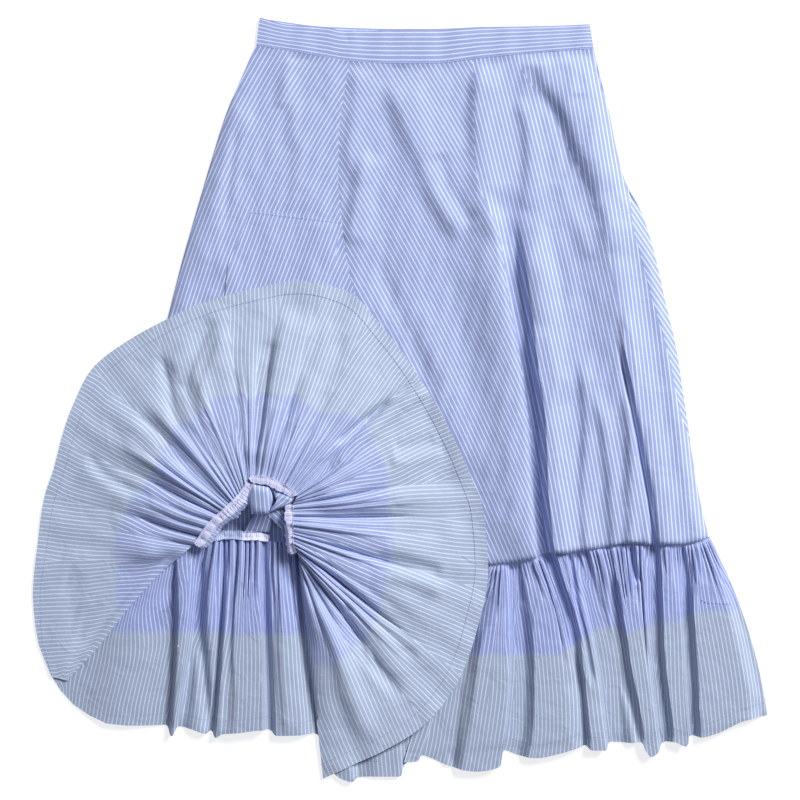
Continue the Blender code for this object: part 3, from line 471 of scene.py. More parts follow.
# Where the dye turns from violet to pale, round the fan and along the other ruffles.
FAN_PALE_PX = (
    (298, 397), (314, 408), (330, 415), (351, 412), (366, 426), (376, 449), (385, 469), (389, 490),
    (390, 528), (391, 550), (387, 577), (382, 607), (373, 629), (359, 643), (330, 662), (316, 664),
    (200, 664), (140, 630), (113, 596), (115, 573), (117, 551), (120, 528), (131, 505), (152, 474),
    (163, 453), (181, 426), (199, 417), (216, 397), (240, 394), (259, 393),
)
LOWER_PALE_PX = ((60, 632), (200, 632), (320, 634), (400, 650), (474, 655))
RIGHT_PALE_PX = (
    (474, 655), (558, 655), (576, 643), (596, 631), (613, 627), (623, 633), (650, 625),
    (658, 619), (676, 623), (696, 611), (737, 609), (760, 606),
)

BUNDLE_CENTRE_PX = (262, 470)
BUNDLE_REACH_PX = (122, 116, 104, 116, 104, 86, 62, 92)
BUNDLE_HEIGHT = 23.0
BUNDLE_ROUND = 0.7

# The opening inside the gathered seams, where the body cloth sinks in.
OPENING_PX = ((205, 541), (226, 516), (250, 488), (262, 486), (284, 492), (288, 505), (288, 541))
OPENING_SINK = 13.0

# The tie, as folds between two side curves: its tail, the crossing, the folded loop and the wrap.
TAIL_LEFT_PX = ((262, 508), (253, 517), (244, 532))
TAIL_RIGHT_PX = ((272, 510), (272, 520), (269, 532))
CROSSING_LEFT_PX = ((267, 511), (274, 520), (283, 529))
CROSSING_RIGHT_PX = ((277, 506), (284, 511), (288, 522))
LOOP_LOWER_PX = ((270, 511), (281, 507), (293, 501))
LOOP_UPPER_PX = ((275, 489), (285, 491), (294, 498))
WRAP_LEFT_PX = ((253, 483), (250.5, 497), (253, 513))
WRAP_RIGHT_PX = ((271, 486), (274, 497), (270.5, 513))
Tie = namedtuple("Tie", "cad left_px right_px levels rise notch leans")
TIE_FOLDS = (
    Tie("knot_tail", TAIL_LEFT_PX, TAIL_RIGHT_PX, (20, 7), 4.0, 0.0,
        (Lean(250, 522, -30), Lean(266, 522, -14))),
    Tie("knot_crossing", CROSSING_LEFT_PX, CROSSING_RIGHT_PX, (19, 13), 4.0, 0.0,
        (Lean(272, 513, 48), Lean(284, 522, 40))),
    Tie("knot_loop", LOOP_LOWER_PX, LOOP_UPPER_PX, (26, 26), 5.0, 5.0,
        (Lean(276, 500, -52), Lean(290, 497, -46))),
    Tie("knot_wrap", WRAP_LEFT_PX, WRAP_RIGHT_PX, (27, 24), 8.0, 0.0,
        (Lean(255, 498, -1), Lean(270, 498, 9))),
)

# Where each overlocked allowance starts and ends along its gathered seam.
Allowance = namedtuple("Allowance", "cad first_px last_px dark_edge")
BACK_ALLOWANCE = Allowance("seam_back", (209, 543), (268, 543), 0.0)
FAN_ALLOWANCES = (
    Allowance("seam_fan_right", (297, 551), (294, 503), 0.0),
    Allowance("seam_fan_top", (298, 494), (251, 478), 0.0),
    Allowance("seam_fan_left", (249.5, 481), (196, 543), DARK_EDGE),
)

VIOLET = (0.314, 0.372, 0.620)
VIOLET_STRIPE = (0.670, 0.735, 0.900)
PALE = (0.376, 0.440, 0.580)
PALE_STRIPE = (0.625, 0.710, 0.830)
# Darker copies of the ruffle's colours, for the back ruffle, its hem and the front ruffle: painted shade
# of the fan's shadow and of the deep gathers, and on the front ruffle partly the deeper colour of the
# cloth's outer face.
DEEP_SHADED_VIOLET = (0.262, 0.315, 0.580)
DEEP_SHADED_VIOLET_STRIPE = (0.570, 0.630, 0.840)
DEEP_SHADED_PALE = (0.325, 0.380, 0.505)
DEEP_SHADED_PALE_STRIPE = (0.560, 0.635, 0.760)
OVERLOCK = (0.600, 0.620, 0.880)
OVERLOCK_STRIPE = (0.880, 0.870, 0.980)
STITCH = (0.210, 0.260, 0.470)
OVERLOCK_THREAD = (0.74, 0.71, 0.85)

# The flat cut of what shows of each cloth, in millimetres, and the hems, allowances and threads
# that are sewn to it. The areas, in square metres, are those of the cloth made here, so
# they don't show that its amount is right. The ruffles' cuts are rectangles with more cloth than
# was made: back 0.214, front 0.131 and fan 0.284.
Cut = namedtuple("Cut", "cad width length area held rests_on")


def to_mm(points_px):
    """Pixels of the photo to millimetres, x to the right and y to the waist."""
    away = np.asarray(points_px, float) - PHOTO_CENTRE_PX
    return away * (MM_PER_PX, -MM_PER_PX)


def through(knots, rows, at):
    """A curve through rows of values at rising knots that never overshoots a row."""
    knots = np.asarray(knots, float)
    rows = np.asarray(rows, float)
    gaps = np.diff(knots)[:, None]
    slopes = np.diff(rows, axis=0) / gaps
    product = slopes[:-1] * slopes[1:]
    total = slopes[:-1] + slopes[1:]
    bends = np.zeros_like(rows)
    bends[0] = slopes[0]
    bends[-1] = slopes[-1]
    bends[1:-1] = np.where(product > 0, 2 * product / np.where(total == 0, 1, total), 0)
    i = np.clip(np.searchsorted(knots, at, side="right") - 1, 0, len(gaps) - 1)
    f = ((at - knots[i]) / gaps[i, 0])[:, None]
    start = (1 + 2 * f) * (1 - f) ** 2 * rows[i] + f * (1 - f) ** 2 * gaps[i] * bends[i]
    end = f**2 * (3 - 2 * f) * rows[i + 1] + f**2 * (f - 1) * gaps[i] * bends[i + 1]
    return start + end


def lengths_along(points):
    return np.concatenate([[0], np.cumsum(np.hypot(*np.diff(points, axis=0).T))])


def curve(points, count):
    """The given points joined by a smooth curve, as evenly spaced points."""
    points = np.asarray(points, float)
    reach = lengths_along(points)
    return through(reach, points, np.linspace(0, reach[-1], count))


def along_curve(points, places):
    """Points of a dense curve at the given lengths along it."""
    reach = lengths_along(points)
    return np.stack([np.interp(places, reach, points[:, k]) for k in (0, 1)], axis=-1)


def place_on(points, target):
    """The length along a dense curve at which it passes nearest to a point."""
    return lengths_along(points)[np.argmin(np.hypot(*(points - target).T))]


def patch(left, right, top, foot, spacing=None):
    """Fills four edge curves with a grid: [across, down, xy]."""
    across = np.linspace(0, 1, len(top)) if spacing is None else spacing
    across = across[:, None, None]
    down = np.linspace(0, 1, len(left))[None, :, None]
    sides = left[None] * (1 - across) + right[None] * across
    ends = top[:, None] * (1 - down) + foot[:, None] * down
    corners = (left[0] * (1 - across) + right[0] * across) * (1 - down)
    corners = corners + (left[-1] * (1 - across) + right[-1] * across) * down
    return sides + ends - corners


def ease(x):
    x = np.clip(x, 0, 1)
    return x * x * (3 - 2 * x)


def wander(seed, x, y):
    """Smooth uneven values from about -1 to 1 over a plane, one swing to each unit."""
    luck = np.random.default_rng(seed)
    total = 0
    for _ in range(7):
        turn, phase = luck.uniform(0, 2 * np.pi, 2)
        pace = luck.uniform(0.6, 1.5) * np.pi
        total = total + np.sin(pace * (x * np.cos(turn) + y * np.sin(turn)) + phase)
    return total / 3


def ripple(points, wave):
    """Uneven waves of the size that a Ripple row gives."""
    return wave.height * wander(wave.seed, points[..., 0] / wave.wide, points[..., 1] / wave.long)


def nearest_line(points, path):
    """The distance to a line, the side that each point is on, and the share of the way along."""
    lengths = np.hypot(*np.diff(path, axis=0).T)
    starts = np.concatenate([[0], np.cumsum(lengths)])
    nearest = np.full(points.shape[:-1], np.inf)
    side = np.zeros(nearest.shape)
    along = np.zeros(nearest.shape)
    for a, b, length, start in zip(path, path[1:], lengths, starts):
        way = (b - a) / length
        off = points - a
        reach = np.clip(off @ way, 0, length)
        away = off - reach[..., None] * way
        distance = np.hypot(away[..., 0], away[..., 1])
        closer = distance < nearest
        nearest = np.where(closer, distance, nearest)
        side = np.where(closer, way[0] * off[..., 1] - way[1] * off[..., 0], side)
        along = np.where(closer, (start + reach) / starts[-1], along)
    return nearest, side, along


def fold_height(points, folds):
    """The rise that a table of folds gives at each point. Lines are read downwards."""
    total = np.zeros(points.shape[:-1])
    for fold in folds:
        path = curve(to_mm(fold.points_px), 14)
        nearest, side, along = nearest_line(points, path)
        width = np.where(side < 0, fold.left, fold.right)
        fade = ease(np.minimum(along, 1 - along) / 0.16)
        total += fold.rise * fade * np.exp(-((nearest / width) ** 2))
    return total


def stripe_field(leans):
    """How far across the stripes a point is, as a smooth field that follows leans from the photo."""
    rows = []
    wanted = []
    for spot in leans:
        x, y = to_mm((spot.x, spot.y)) / 100
        angle = np.radians(spot.lean)
        rows += [(1, 0, 2 * x, y, 0), (0, 1, 0, x, 2 * y)]
        wanted += [np.cos(angle), np.sin(angle)]
    rows += [(0, 0, 0.2, 0, 0), (0, 0, 0, 0.2, 0), (0, 0, 0, 0, 0.2)]
    wanted += [0, 0, 0]
    a, b, c, d, e = np.linalg.lstsq(np.array(rows, float), np.array(wanted), rcond=None)[0]

    def across(points):
        x = points[..., 0] / 100
        y = points[..., 1] / 100
        return 100 * (a * x + b * y + c * x * x + d * x * y + e * y * y)

    return across


class Heap:
    """The height of the cloth laid so far, on a fine square raster."""

    cell = 1.0
    half = 420.0

    def __init__(self):
        count = int(2 * self.half / self.cell) + 1
        self.top = np.zeros((count, count))
        self.soft = self.top.copy()

    def add(self, points, top):
        """Lays a grid's upper face on the heap."""
        steps = np.hypot(*np.moveaxis(np.diff(points, axis=0), -1, 0)).max()
        rows = np.hypot(*np.moveaxis(np.diff(points, axis=1), -1, 0)).max()
        for f in np.linspace(0, 1, int(1.5 * steps / self.cell) + 2):
            for g in np.linspace(0, 1, int(1.5 * rows / self.cell) + 2):
                spot = np.rint((blend(points, f, g) + self.half) / self.cell).astype(int)
                spot = np.clip(spot, 0, len(self.top) - 1)
                np.maximum.at(self.top, (spot[..., 0], spot[..., 1]), blend(top, f, g))
        wide = self.top
        for _ in range(3):
            for axis in (0, 1):
                step = np.maximum(np.roll(wide, 1, axis), np.roll(wide, -1, axis))
                wide = np.maximum(wide, step)
        self.soft = blur(wide, 3.0)

    def read(self, field, points):
        spot = np.clip((points + self.half) / self.cell, 0, len(field) - 1.001)
        low = spot.astype(int)
        f, g = np.moveaxis(spot - low, -1, 0)
        i, j = low[..., 0], low[..., 1]
        first = field[i, j] * (1 - f) + field[i + 1, j] * f
        return first * (1 - g) + (field[i, j + 1] * (1 - f) + field[i + 1, j + 1] * f) * g

    def drape(self, points, form, clear=CLEAR, give=1.0):
        """Lets a cloth of the given form down on the heap, so that it rests softly on it."""
        floor = self.read(self.soft, points) + clear
        off = np.clip((form - floor) / give, -30, 30)
        low = floor + np.where(off > 20, off, np.log1p(np.exp(np.minimum(off, 20)))) * give
        return np.maximum(low, self.read(self.top, points) + LEAST_GAP)


def blur(field, width):
    """A soft copy of a raster."""
    count = len(field)
    pace = np.fft.fftfreq(count)
    fall = np.exp(-2 * (np.pi * width * pace) ** 2)
    return np.real(np.fft.ifft2(np.fft.fft2(field) * fall[:, None] * fall[None, :]))


def blend(grid, f, g):
    """A grid's values at the same place in each of its cells."""
    first = grid[:-1] * (1 - f) + grid[1:] * f
    return first[:, :-1] * (1 - g) + first[:, 1:] * g


def upper_face(points, low, wall):
    """The top of a cloth whose wall is even, measured square to its slope."""
    along = np.gradient(np.dstack([points, low]), axis=0)
    down = np.gradient(np.dstack([points, low]), axis=1)
    square = np.cross(along, down)
    size = np.linalg.norm(square, axis=-1) + 1e-9
    return low + wall / np.clip(np.abs(square[..., 2]) / size, 0.4, 1)


def shell(name, points, low, across, depth, look, dye=None, wall=WALL):
    """A thin wall of cloth over a grid of points, with its underside at low.

    across is the distance across the stripes at each point, or a pair of them, read from
    the left and from the right end of each step of the grid. depth is the distance from
    the hem, and dye how far each point is past the dye's edge, on its pale side.
    """
    count, rows = low.shape
    top = upper_face(points, low, wall)
    upper = np.dstack([points, top]).reshape(-1, 3)
    lower = np.dstack([points, low]).reshape(-1, 3)
    index = np.arange(count * rows).reshape(count, rows)
    if not isinstance(across, tuple):
        across = (across[:-1], across[1:])
    u = np.stack([across[0][:, :-1], across[0][:, 1:], across[1][:, 1:], across[1][:, :-1]], -1)
    corners = np.stack([index[:-1, :-1], index[:-1, 1:], index[1:, 1:], index[1:, :-1]], -1)
    v = depth.reshape(-1)[corners]
    steps = points[1:, :-1] - points[:-1, :-1]
    downs = points[:-1, 1:] - points[:-1, :-1]
    turned = np.sum(steps[..., 0] * downs[..., 1] - steps[..., 1] * downs[..., 0]) > 0
    quads = [corners.reshape(-1, 4)]
    marks = [np.stack([u, v], -1).reshape(-1, 4, 2)]
    other = len(upper)
    quads.append(quads[0][:, ::-1] + other)
    marks.append(marks[0][:, ::-1])
    for part, first, second in (
        ((0, slice(None)), 1, 0),
        ((-1, slice(None)), 3, 2),
        ((slice(None), 0), 0, 3),
        ((slice(None), -1), 2, 1),
    ):
        edge = corners[part].reshape(-1, 4)
        mark = np.stack([u[part], v[part]], -1).reshape(-1, 4, 2)
        a, b = edge[:, first], edge[:, second]
        quads.append(np.stack([a, b, b + other, a + other], -1))
        marks.append(mark[:, [first, second, second, first]])
    quads = np.concatenate(quads)
    marks = np.concatenate(marks)
    if turned:
        quads = quads[:, ::-1]
        marks = marks[:, ::-1]
    marks = marks / (STRIPE_PITCH, 100.0)
    extra = None if dye is None else np.concatenate([dye.reshape(-1)] * 2)
    made = new_mesh(name, np.concatenate([upper, lower]), quads, marks, look, extra)
    return made, top


def new_mesh(name, points, quads, marks, look, dye=None):
    mesh = bpy.data.meshes.new(name)
    mesh.vertices.add(len(points))
    mesh.vertices.foreach_set("co", (points / 1000).astype(np.float32).ravel())
    mesh.loops.add(quads.size)
    mesh.loops.foreach_set("vertex_index", quads.astype(np.int32).ravel())
    mesh.polygons.add(len(quads))
    mesh.polygons.foreach_set("loop_start", np.arange(0, quads.size, 4, dtype=np.int32))
    mesh.update(calc_edges=True)
    layer = mesh.uv_layers.new(name="cloth")
    layer.uv.foreach_set("vector", marks.astype(np.float32).ravel())
    shade = mesh.attributes.new("dye", "FLOAT", "POINT")
    value = np.full(len(points), FAR_ABOVE_DYE_EDGE) if dye is None else dye
    shade.data.foreach_set("value", value.astype(np.float32))
    mesh.shade_smooth()
    mesh.set_sharp_from_angle(angle=np.radians(70))
    mesh.materials.append(look)
    made = bpy.data.objects.new(name, mesh)
    bpy.context.scene.collection.objects.link(made)
    return made


def add_node(tree, kind, inputs=None, **settings):
    made = tree.nodes.new(kind)
    for key, value in settings.items():
        setattr(made, key, value)
    for key, value in (inputs or {}).items():
        if isinstance(value, bpy.types.NodeSocket):
            tree.links.new(value, made.inputs[key])
        else:
            made.inputs[key].default_value = value
    return made


def shirting(name, violet, violet_stripe, pale, pale_stripe, crumple=0.35):
    """Striped cotton: a fine woven ground with white lines, violet above and pale at the hem."""
    made = bpy.data.materials.new(name)
    made.use_nodes = True
    tree = made.node_tree
    shader = tree.nodes["Principled BSDF"]
    cloth_map = add_node(tree, "ShaderNodeUVMap", uv_map="cloth")
    parts = add_node(tree, "ShaderNodeSeparateXYZ", {0: cloth_map.outputs[0]})
    place = add_node(tree, "ShaderNodeTexCoord")
    slub = add_node(tree, "ShaderNodeTexNoise", {"Vector": place.outputs["Object"], "Scale": 260.0})
    drift = add_node(tree, "ShaderNodeMath", {0: slub.outputs[0], 1: 0.10, 2: parts.outputs[0]},
                     operation="MULTIPLY_ADD")
    cycle = add_node(tree, "ShaderNodeMath", {0: drift.outputs[0]}, operation="FRACT")
    centred = add_node(tree, "ShaderNodeMath", {0: cycle.outputs[0], 1: 0.5}, operation="SUBTRACT")
    away = add_node(tree, "ShaderNodeMath", {0: centred.outputs[0]}, operation="ABSOLUTE")
    line = add_node(tree, "ShaderNodeMapRange", {"Value": away.outputs[0], "From Min": 0.07,
                    "From Max": 0.16, "To Min": 1.0, "To Max": 0.0}, interpolation_type="SMOOTHSTEP")
    dye = add_node(tree, "ShaderNodeAttribute", attribute_name="dye")
    blot = add_node(tree, "ShaderNodeTexNoise", {"Vector": place.outputs["Object"], "Scale": 90.0})
    uneven = add_node(tree, "ShaderNodeMath", {0: blot.outputs[0], 1: 8.0, 2: dye.outputs["Fac"]},
                      operation="MULTIPLY_ADD")
    edge = add_node(tree, "ShaderNodeMapRange", {"Value": uneven.outputs[0], "From Min": 0.0,
                    "From Max": 8.0}, interpolation_type="SMOOTHSTEP")
    ground = add_node(tree, "ShaderNodeMix", {"Factor": edge.outputs[0]}, data_type="RGBA")
    stripe = add_node(tree, "ShaderNodeMix", {"Factor": edge.outputs[0]}, data_type="RGBA")
    for mix, first, second in ((ground, violet, pale), (stripe, violet_stripe, pale_stripe)):
        mix.inputs[6].default_value = (*first, 1)
        mix.inputs[7].default_value = (*second, 1)
    striped = add_node(tree, "ShaderNodeMix", {"Factor": line.outputs[0]}, data_type="RGBA")
    tree.links.new(ground.outputs[2], striped.inputs[6])
    tree.links.new(stripe.outputs[2], striped.inputs[7])
    weave = add_node(tree, "ShaderNodeTexNoise", {"Vector": place.outputs["Object"],
                     "Scale": 1500.0, "Detail": 2.0})
    fleck = add_node(tree, "ShaderNodeMapRange", {"Value": weave.outputs[0], "To Min": 0.90,
                     "To Max": 1.10})
    final = add_node(tree, "ShaderNodeMix", data_type="RGBA", blend_type="MULTIPLY")
    final.inputs[0].default_value = 1.0
    tree.links.new(striped.outputs[2], final.inputs[6])
    tree.links.new(fleck.outputs[0], final.inputs[7])
    tree.links.new(final.outputs[2], shader.inputs["Base Color"])
    wrinkle = add_node(tree, "ShaderNodeTexNoise", {"Vector": place.outputs["Object"],
                       "Scale": 38.0, "Detail": 4.0, "Roughness": 0.55, "Distortion": 0.6})
    soft = add_node(tree, "ShaderNodeBump", {"Height": wrinkle.outputs[0], "Strength": crumple,
                    "Distance": 0.004})
    fine = add_node(tree, "ShaderNodeBump", {"Height": weave.outputs[0], "Strength": 0.25,
                    "Distance": 0.0003, "Normal": soft.outputs[0]})
    tree.links.new(fine.outputs[0], shader.inputs["Normal"])
    shader.inputs["Roughness"].default_value = 0.86
    shader.inputs["Sheen Weight"].default_value = 0.12
    shader.inputs["Sheen Roughness"].default_value = 0.5
    shader.inputs["Specular IOR Level"].default_value = 0.25
    return made


def plain(name, colour, roughness=0.8):
    """Thread or another even colour, with a little fleck."""
    made = bpy.data.materials.new(name)
    made.use_nodes = True
    tree = made.node_tree
    shader = tree.nodes["Principled BSDF"]
    place = add_node(tree, "ShaderNodeTexCoord")
    fleck = add_node(tree, "ShaderNodeTexNoise", {"Vector": place.outputs["Object"], "Scale": 700.0})
    mix = add_node(tree, "ShaderNodeMix", {"Factor": fleck.outputs[0]}, data_type="RGBA")
    mix.inputs[6].default_value = (*(c * 0.85 for c in colour), 1)
    mix.inputs[7].default_value = (*(min(c * 1.15, 1) for c in colour), 1)
    tree.links.new(mix.outputs[2], shader.inputs["Base Color"])
    shader.inputs["Roughness"].default_value = roughness
    return made


def lay(cad, points, low, across, depth, look, dye=None, wall=WALL, on_heap=True):
    """Makes the cloth that takes the place of one CAD node, and lays it on the heap."""
    made, top = shell("cloth_" + cad, points, low, across, depth, look, dye, wall)
    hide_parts(cad)
    pieces[cad] = made
    if on_heap:
        heap.add(points, top)
    return top


def side_distance(points, side_px):
    """How far each point is from a side edge, measured along X."""
    side = curve(to_mm(side_px), 80)
    order = np.argsort(side[:, 1])
    return np.abs(points[..., 0] - np.interp(points[..., 1], side[order, 1], side[order, 0]))


def front_form(points):
    """The front body before it is let down: a soft puff with worn folds, rolled down at its sides."""
    edge = side_distance(points, LEFT_SIDE_PX)
    edge = np.minimum(edge, side_distance(points, RIGHT_SIDE_PX + GORE_FOLD_PX[1:] + RUFFLE_SIDE_PX))
    edge = 1 - np.clip(1 - edge / EDGE_ROLL, 0, 1) ** 2
    down = np.clip((BODY_TOP - points[..., 1]) / BODY_LENGTH, 0, 1)
    puff = BODY_PUFF * (0.25 + 0.75 * down)
    ripples = ripple(points, BODY_RIPPLES[0]) + ripple(points, BODY_RIPPLES[1])
    waist = to_mm(BAND_FOOT_PX)
    under = np.interp(points[..., 0], waist[:, 0], waist[:, 1]) - points[..., 1]
    rise = puff + fold_height(points, BODY_FOLDS) * ease(under / WAIST_HOLD) + ripples
    foot = to_mm(CENTRE_PANEL_FOOT_PX)
    above = points[..., 1] - np.interp(points[..., 0], foot[:, 0], foot[:, 1])
    squeeze = SEAM_SQUEEZE * np.exp(-np.clip(above, 0, 200) / SEAM_SQUEEZE_REACH)
    drawn = 1 - squeeze * (points[..., 0] > foot[0, 0])
    return BODY_FLOOR + edge * np.maximum(rise, -0.5) * drawn


def waistband():
    """The back band, and the front band in two pieces, with stripes that run along it."""
    count = 400
    foot = curve(to_mm(BAND_FOOT_PX), count)
    top = curve(to_mm(BAND_TOP_PX), count)
    down = np.linspace(0, 1, 18)
    back_top = curve(to_mm(BACK_BAND_TOP_PX), 120)
    back_foot = curve(to_mm(BAND_FOOT_PX), 120)
    points = back_top[:, None] * (1 - down[None, :, None]) + back_foot[:, None] * down[None, :, None]
    points[..., 0] *= BACK_BAND_SHARE
    low = np.zeros(points.shape[:2])
    across = np.broadcast_to(down[None] * BAND_DEPTH, low.shape)
    lay("waistband_back", points, low, across, across, BODY, wall=BAND_WALL)
    join = (BAND_JOIN_X_PX - PHOTO_CENTRE_PX[0]) * MM_PER_PX
    split = int(np.searchsorted(top[:, 0], join))
    laid = []
    for cad, part, columns in (
        ("waistband_front_left", slice(0, split), 60),
        ("waistband_front", slice(split - 1, count), 130),
    ):
        tops = curve(top[part], columns)[:, None]
        feet = curve(foot[part], columns)[:, None]
        points = tops * (1 - down[None, :, None]) + feet * down[None, :, None]
        ends = np.minimum(points[..., 0] - BAND_ENDS[0], BAND_ENDS[1] - points[..., 0])
        form = 1.6 + 1.2 * ease(ends / 12) + ripple(points, BAND_RIPPLE)
        for seam_at in (0.93, 0.05):
            form -= 0.5 * np.exp(-((down[None] - seam_at) / 0.05) ** 2)
        form += fold_height(points, BAND_FOLDS)
        low = heap.drape(points, form, clear=0.2, give=0.4)
        across = np.broadcast_to(down[None] * BAND_DEPTH, low.shape)
        lifted = lay(cad, points, low, across, across, BAND_LOOK, wall=BAND_WALL, on_heap=False)
        laid.append((points, lifted))
    for points, lifted in laid:
        heap.add(points, lifted)


def back_panel():
    left = curve(to_mm(BACK_LEFT_PX), 120)
    right = curve(to_mm(BACK_RIGHT_PX), 120)
    top = curve(to_mm(BAND_FOOT_PX) - (0, 0.4), 90)
    foot = curve(to_mm(BACK_FOOT_PX), 90)
    left[0] = top[0]
    right[0] = top[-1]
    points = patch(left, right, top, foot)
    low = np.zeros(points.shape[:2])
    lay("back_panel", points, low, points[..., 0], -points[..., 1], BODY)


def grid_rows(lines, places, hem):
    """Heights and bows of a ruffle's lines at the given lengths along its hem."""
    table = np.array(lines, float)
    knots = [place_on(hem, spot) for spot in to_mm(table[:, 3:5])]
    knots = np.maximum.accumulate(np.array(knots) + np.arange(len(knots)) * 1e-3)
    return through(knots, table[:, [2, 5, 6]], places)


def ruffle(lines, valleys, folds, seed, steps, rows, gather_height, bulge, fullness=1.0,
           deepen=0.0, tuck=0.0, gathering=0.0, onsets=(0.42, 0.80)):
    """Plan, form and stripes of a gathered stretch of ruffle.

    Its valleys part it into lobes and each lobe into small gathers. The cloth that the
    lobes and gathers hide is skipped at the valleys, so the stripes keep their real pitch.
    """
    luck = np.random.default_rng(seed)
    table = np.array(lines, float)
    hem = curve(to_mm(table[:, 3:5]), EDGE_POINTS)
    seam = curve(to_mm(table[:, 0:2]), EDGE_POINTS)
    marks = np.array([place_on(hem, to_mm((v.hem_x, v.hem_y))) for v in valleys])
    seats = np.array([place_on(seam, to_mm((v.seam_x, v.seam_y))) for v in valleys])
    marks[0], seats[0] = 0, 0
    marks[-1], seats[-1] = lengths_along(hem)[-1], lengths_along(seam)[-1]
    borders, owners = [0.0], []
    for lobe, valley in enumerate(valleys[:-1]):
        cuts = np.arange(1, valley.gathers) + luck.uniform(-CUT_LUCK, CUT_LUCK, valley.gathers - 1)
        span = marks[lobe + 1] - marks[lobe]
        borders += list(marks[lobe] + span * np.append(cuts / valley.gathers, 1.0))
        owners += [lobe] * valley.gathers
    borders = np.array(borders)
    owners = np.array(owners)
    inside = np.linspace(0, 1, steps + 1)[:-1]
    places = (borders[:-1, None] + np.diff(borders)[:, None] * inside[None]).ravel()
    places = np.append(places, borders[-1])
    gather = np.repeat(np.arange(len(owners)), steps)
    share = np.append(np.tile(inside, len(owners)), 1.0)
    gather_at = np.append(gather, gather[-1])
    t = np.linspace(0, 1, rows)[None]
    sway = SWAY * wander(seed + 1, places[:, None] / 45, 2.2 * t) * ease(t / 0.2) * ease((1 - t) / 0.15)
    shifted = places[:, None] + sway
    shifted[0], shifted[-1] = places[0], places[-1]
    reach = lengths_along(hem)
    spots = np.stack([np.interp(shifted, reach, hem[:, k]) for k in (0, 1)], axis=-1)
    seat = through(marks, seats[:, None], np.clip(shifted, 0, marks[-1]).ravel()).reshape(shifted.shape)
    reach = lengths_along(seam)
    starts = np.stack([np.interp(seat, reach, seam[:, k]) for k in (0, 1)], axis=-1)
    run = spots - starts
    starts = starts - run / np.linalg.norm(run, axis=-1)[..., None] * tuck
    points = starts * (1 - t[..., None]) + spots * t[..., None]
    found = grid_rows(lines, places, hem)
    points[..., 0] += found[:, 2:3] * MM_PER_PX * 4 * t * (1 - t)
    form = found[:, 0:1] * (1 - t) + found[:, 1:2] * t
    form = form + deepen * (found[:, 1:2] - found[:, 1].mean()) * ease(t / 0.45)

    # Each small gather starts part of the way down, at a place of its own.
    onset = onsets[0] + (onsets[1] - onsets[0]) * luck.random(len(owners)) ** 1.5
    activity = ease((onset[:, None] - t) / GATHER_FADE)
    way = points[:, 1:] - points[:, :-1]
    way = np.concatenate([way, way[:, -1:]], axis=1)
    way /= np.linalg.norm(way, axis=-1)[..., None] + 1e-9
    step = points[1:] - points[:-1]
    width = np.abs(step[..., 0] * way[:-1, :, 1] - step[..., 1] * way[:-1, :, 0])
    starts_at = np.arange(0, len(gather), steps)
    plan = np.add.reduceat(width, starts_at, axis=0)
    ratio = np.clip(plan[:, -1:] * fullness / (plan + 1e-6), 1, 9)
    drawn_in = np.maximum(ratio, plan[:, :1] * gathering / (plan + 1e-6))
    height = np.minimum(plan * np.sqrt(drawn_in - 1) * GATHER_RISE, gather_height)
    flat_when_wide = ease((WIDEST_GATHER - plan) / (WIDEST_GATHER / 2))
    height *= luck.uniform(*GATHER_SPREAD, len(owners))[:, None] * flat_when_wide
    height *= np.maximum(activity, 0.0)
    round_top = (1 - np.abs(2 * share - 1) ** 2.2)[:, None]
    form = form + height[gather_at] * round_top

    # Main valleys cut in as sharp dips, and lobes swell between them.
    for lobe, valley in enumerate(valleys):
        if valley.depth:
            k = int(np.argmin(np.abs(places - marks[lobe])))
            off = np.zeros(width.shape[0] + 1)[:, None] + 0 * t
            off[k + 1:] = np.cumsum(width[k:], axis=0)
            off[:k] = np.cumsum(width[:k][::-1], axis=0)[::-1]
            fall = ease((valley.reach - t) / 0.5)
            fade = np.exp(-off / (VALLEY_WIDTH + VALLEY_WIDENS * t))
            form = form - valley.depth * fall * fade
    lobe_edges = np.searchsorted(places, marks - 1e-6)
    for a, b in zip(lobe_edges, lobe_edges[1:]):
        f = np.linspace(0, 1, b - a + 1)[:, None]
        swell = ease(t / 0.25) * ease((1.0 - t) / 0.6)
        form[a:b + 1] += bulge * min(1, (b - a) / (3 * steps)) * np.sin(np.pi * f) ** 0.8 * swell
    form = form + fold_height(points, folds)
    form = form + 0.25 * wander(seed + 2, points[..., 0] / 16, points[..., 1] / 16)

    # Cloth lengths along each row, and what is hidden at each border between gathers.
    dz = np.diff(form, axis=0)
    squeezed = 1 + (np.repeat(ratio, steps, axis=0) ** 0.5 - 1) * activity[gather]
    run = np.sqrt(width**2 + 0.6 * dz**2) * squeezed
    total = np.concatenate([np.zeros((1, rows)), np.cumsum(run, axis=0)])
    hem_total = np.concatenate([[0], np.cumsum(width[:, -1] * fullness)])
    middles = starts_at + steps // 2
    offset = np.zeros((len(owners), rows))
    for lobe in range(len(valleys) - 1):
        members = np.flatnonzero(owners == lobe)
        for before, m in zip(members, members[1:]):
            want = hem_total[middles[m]] - hem_total[middles[before]]
            have = total[middles[m]] - total[middles[before]]
            offset[m] = offset[before] + activity[m] * (want - have)
        centre = members[len(members) // 2]
        anchor = hem_total[middles[centre]] + STRIPE_SHIFT * luck.random() - total[middles[centre]]
        offset[members] += anchor - offset[centre]
    left = total[:-1] + offset[gather]
    right = total[1:] + offset[gather]
    lengths = np.linalg.norm(spots - starts, axis=-1)
    depth = lengths * (1 - t)
    dye_step = luck.uniform(-DYE_STEP, DYE_STEP, len(owners))[gather_at][:, None]
    return {"points": points, "form": form, "across": (left, right), "depth": depth, "t": t,
            "hem": hem, "places": places, "dye_step": dye_step * activity[gather_at]}


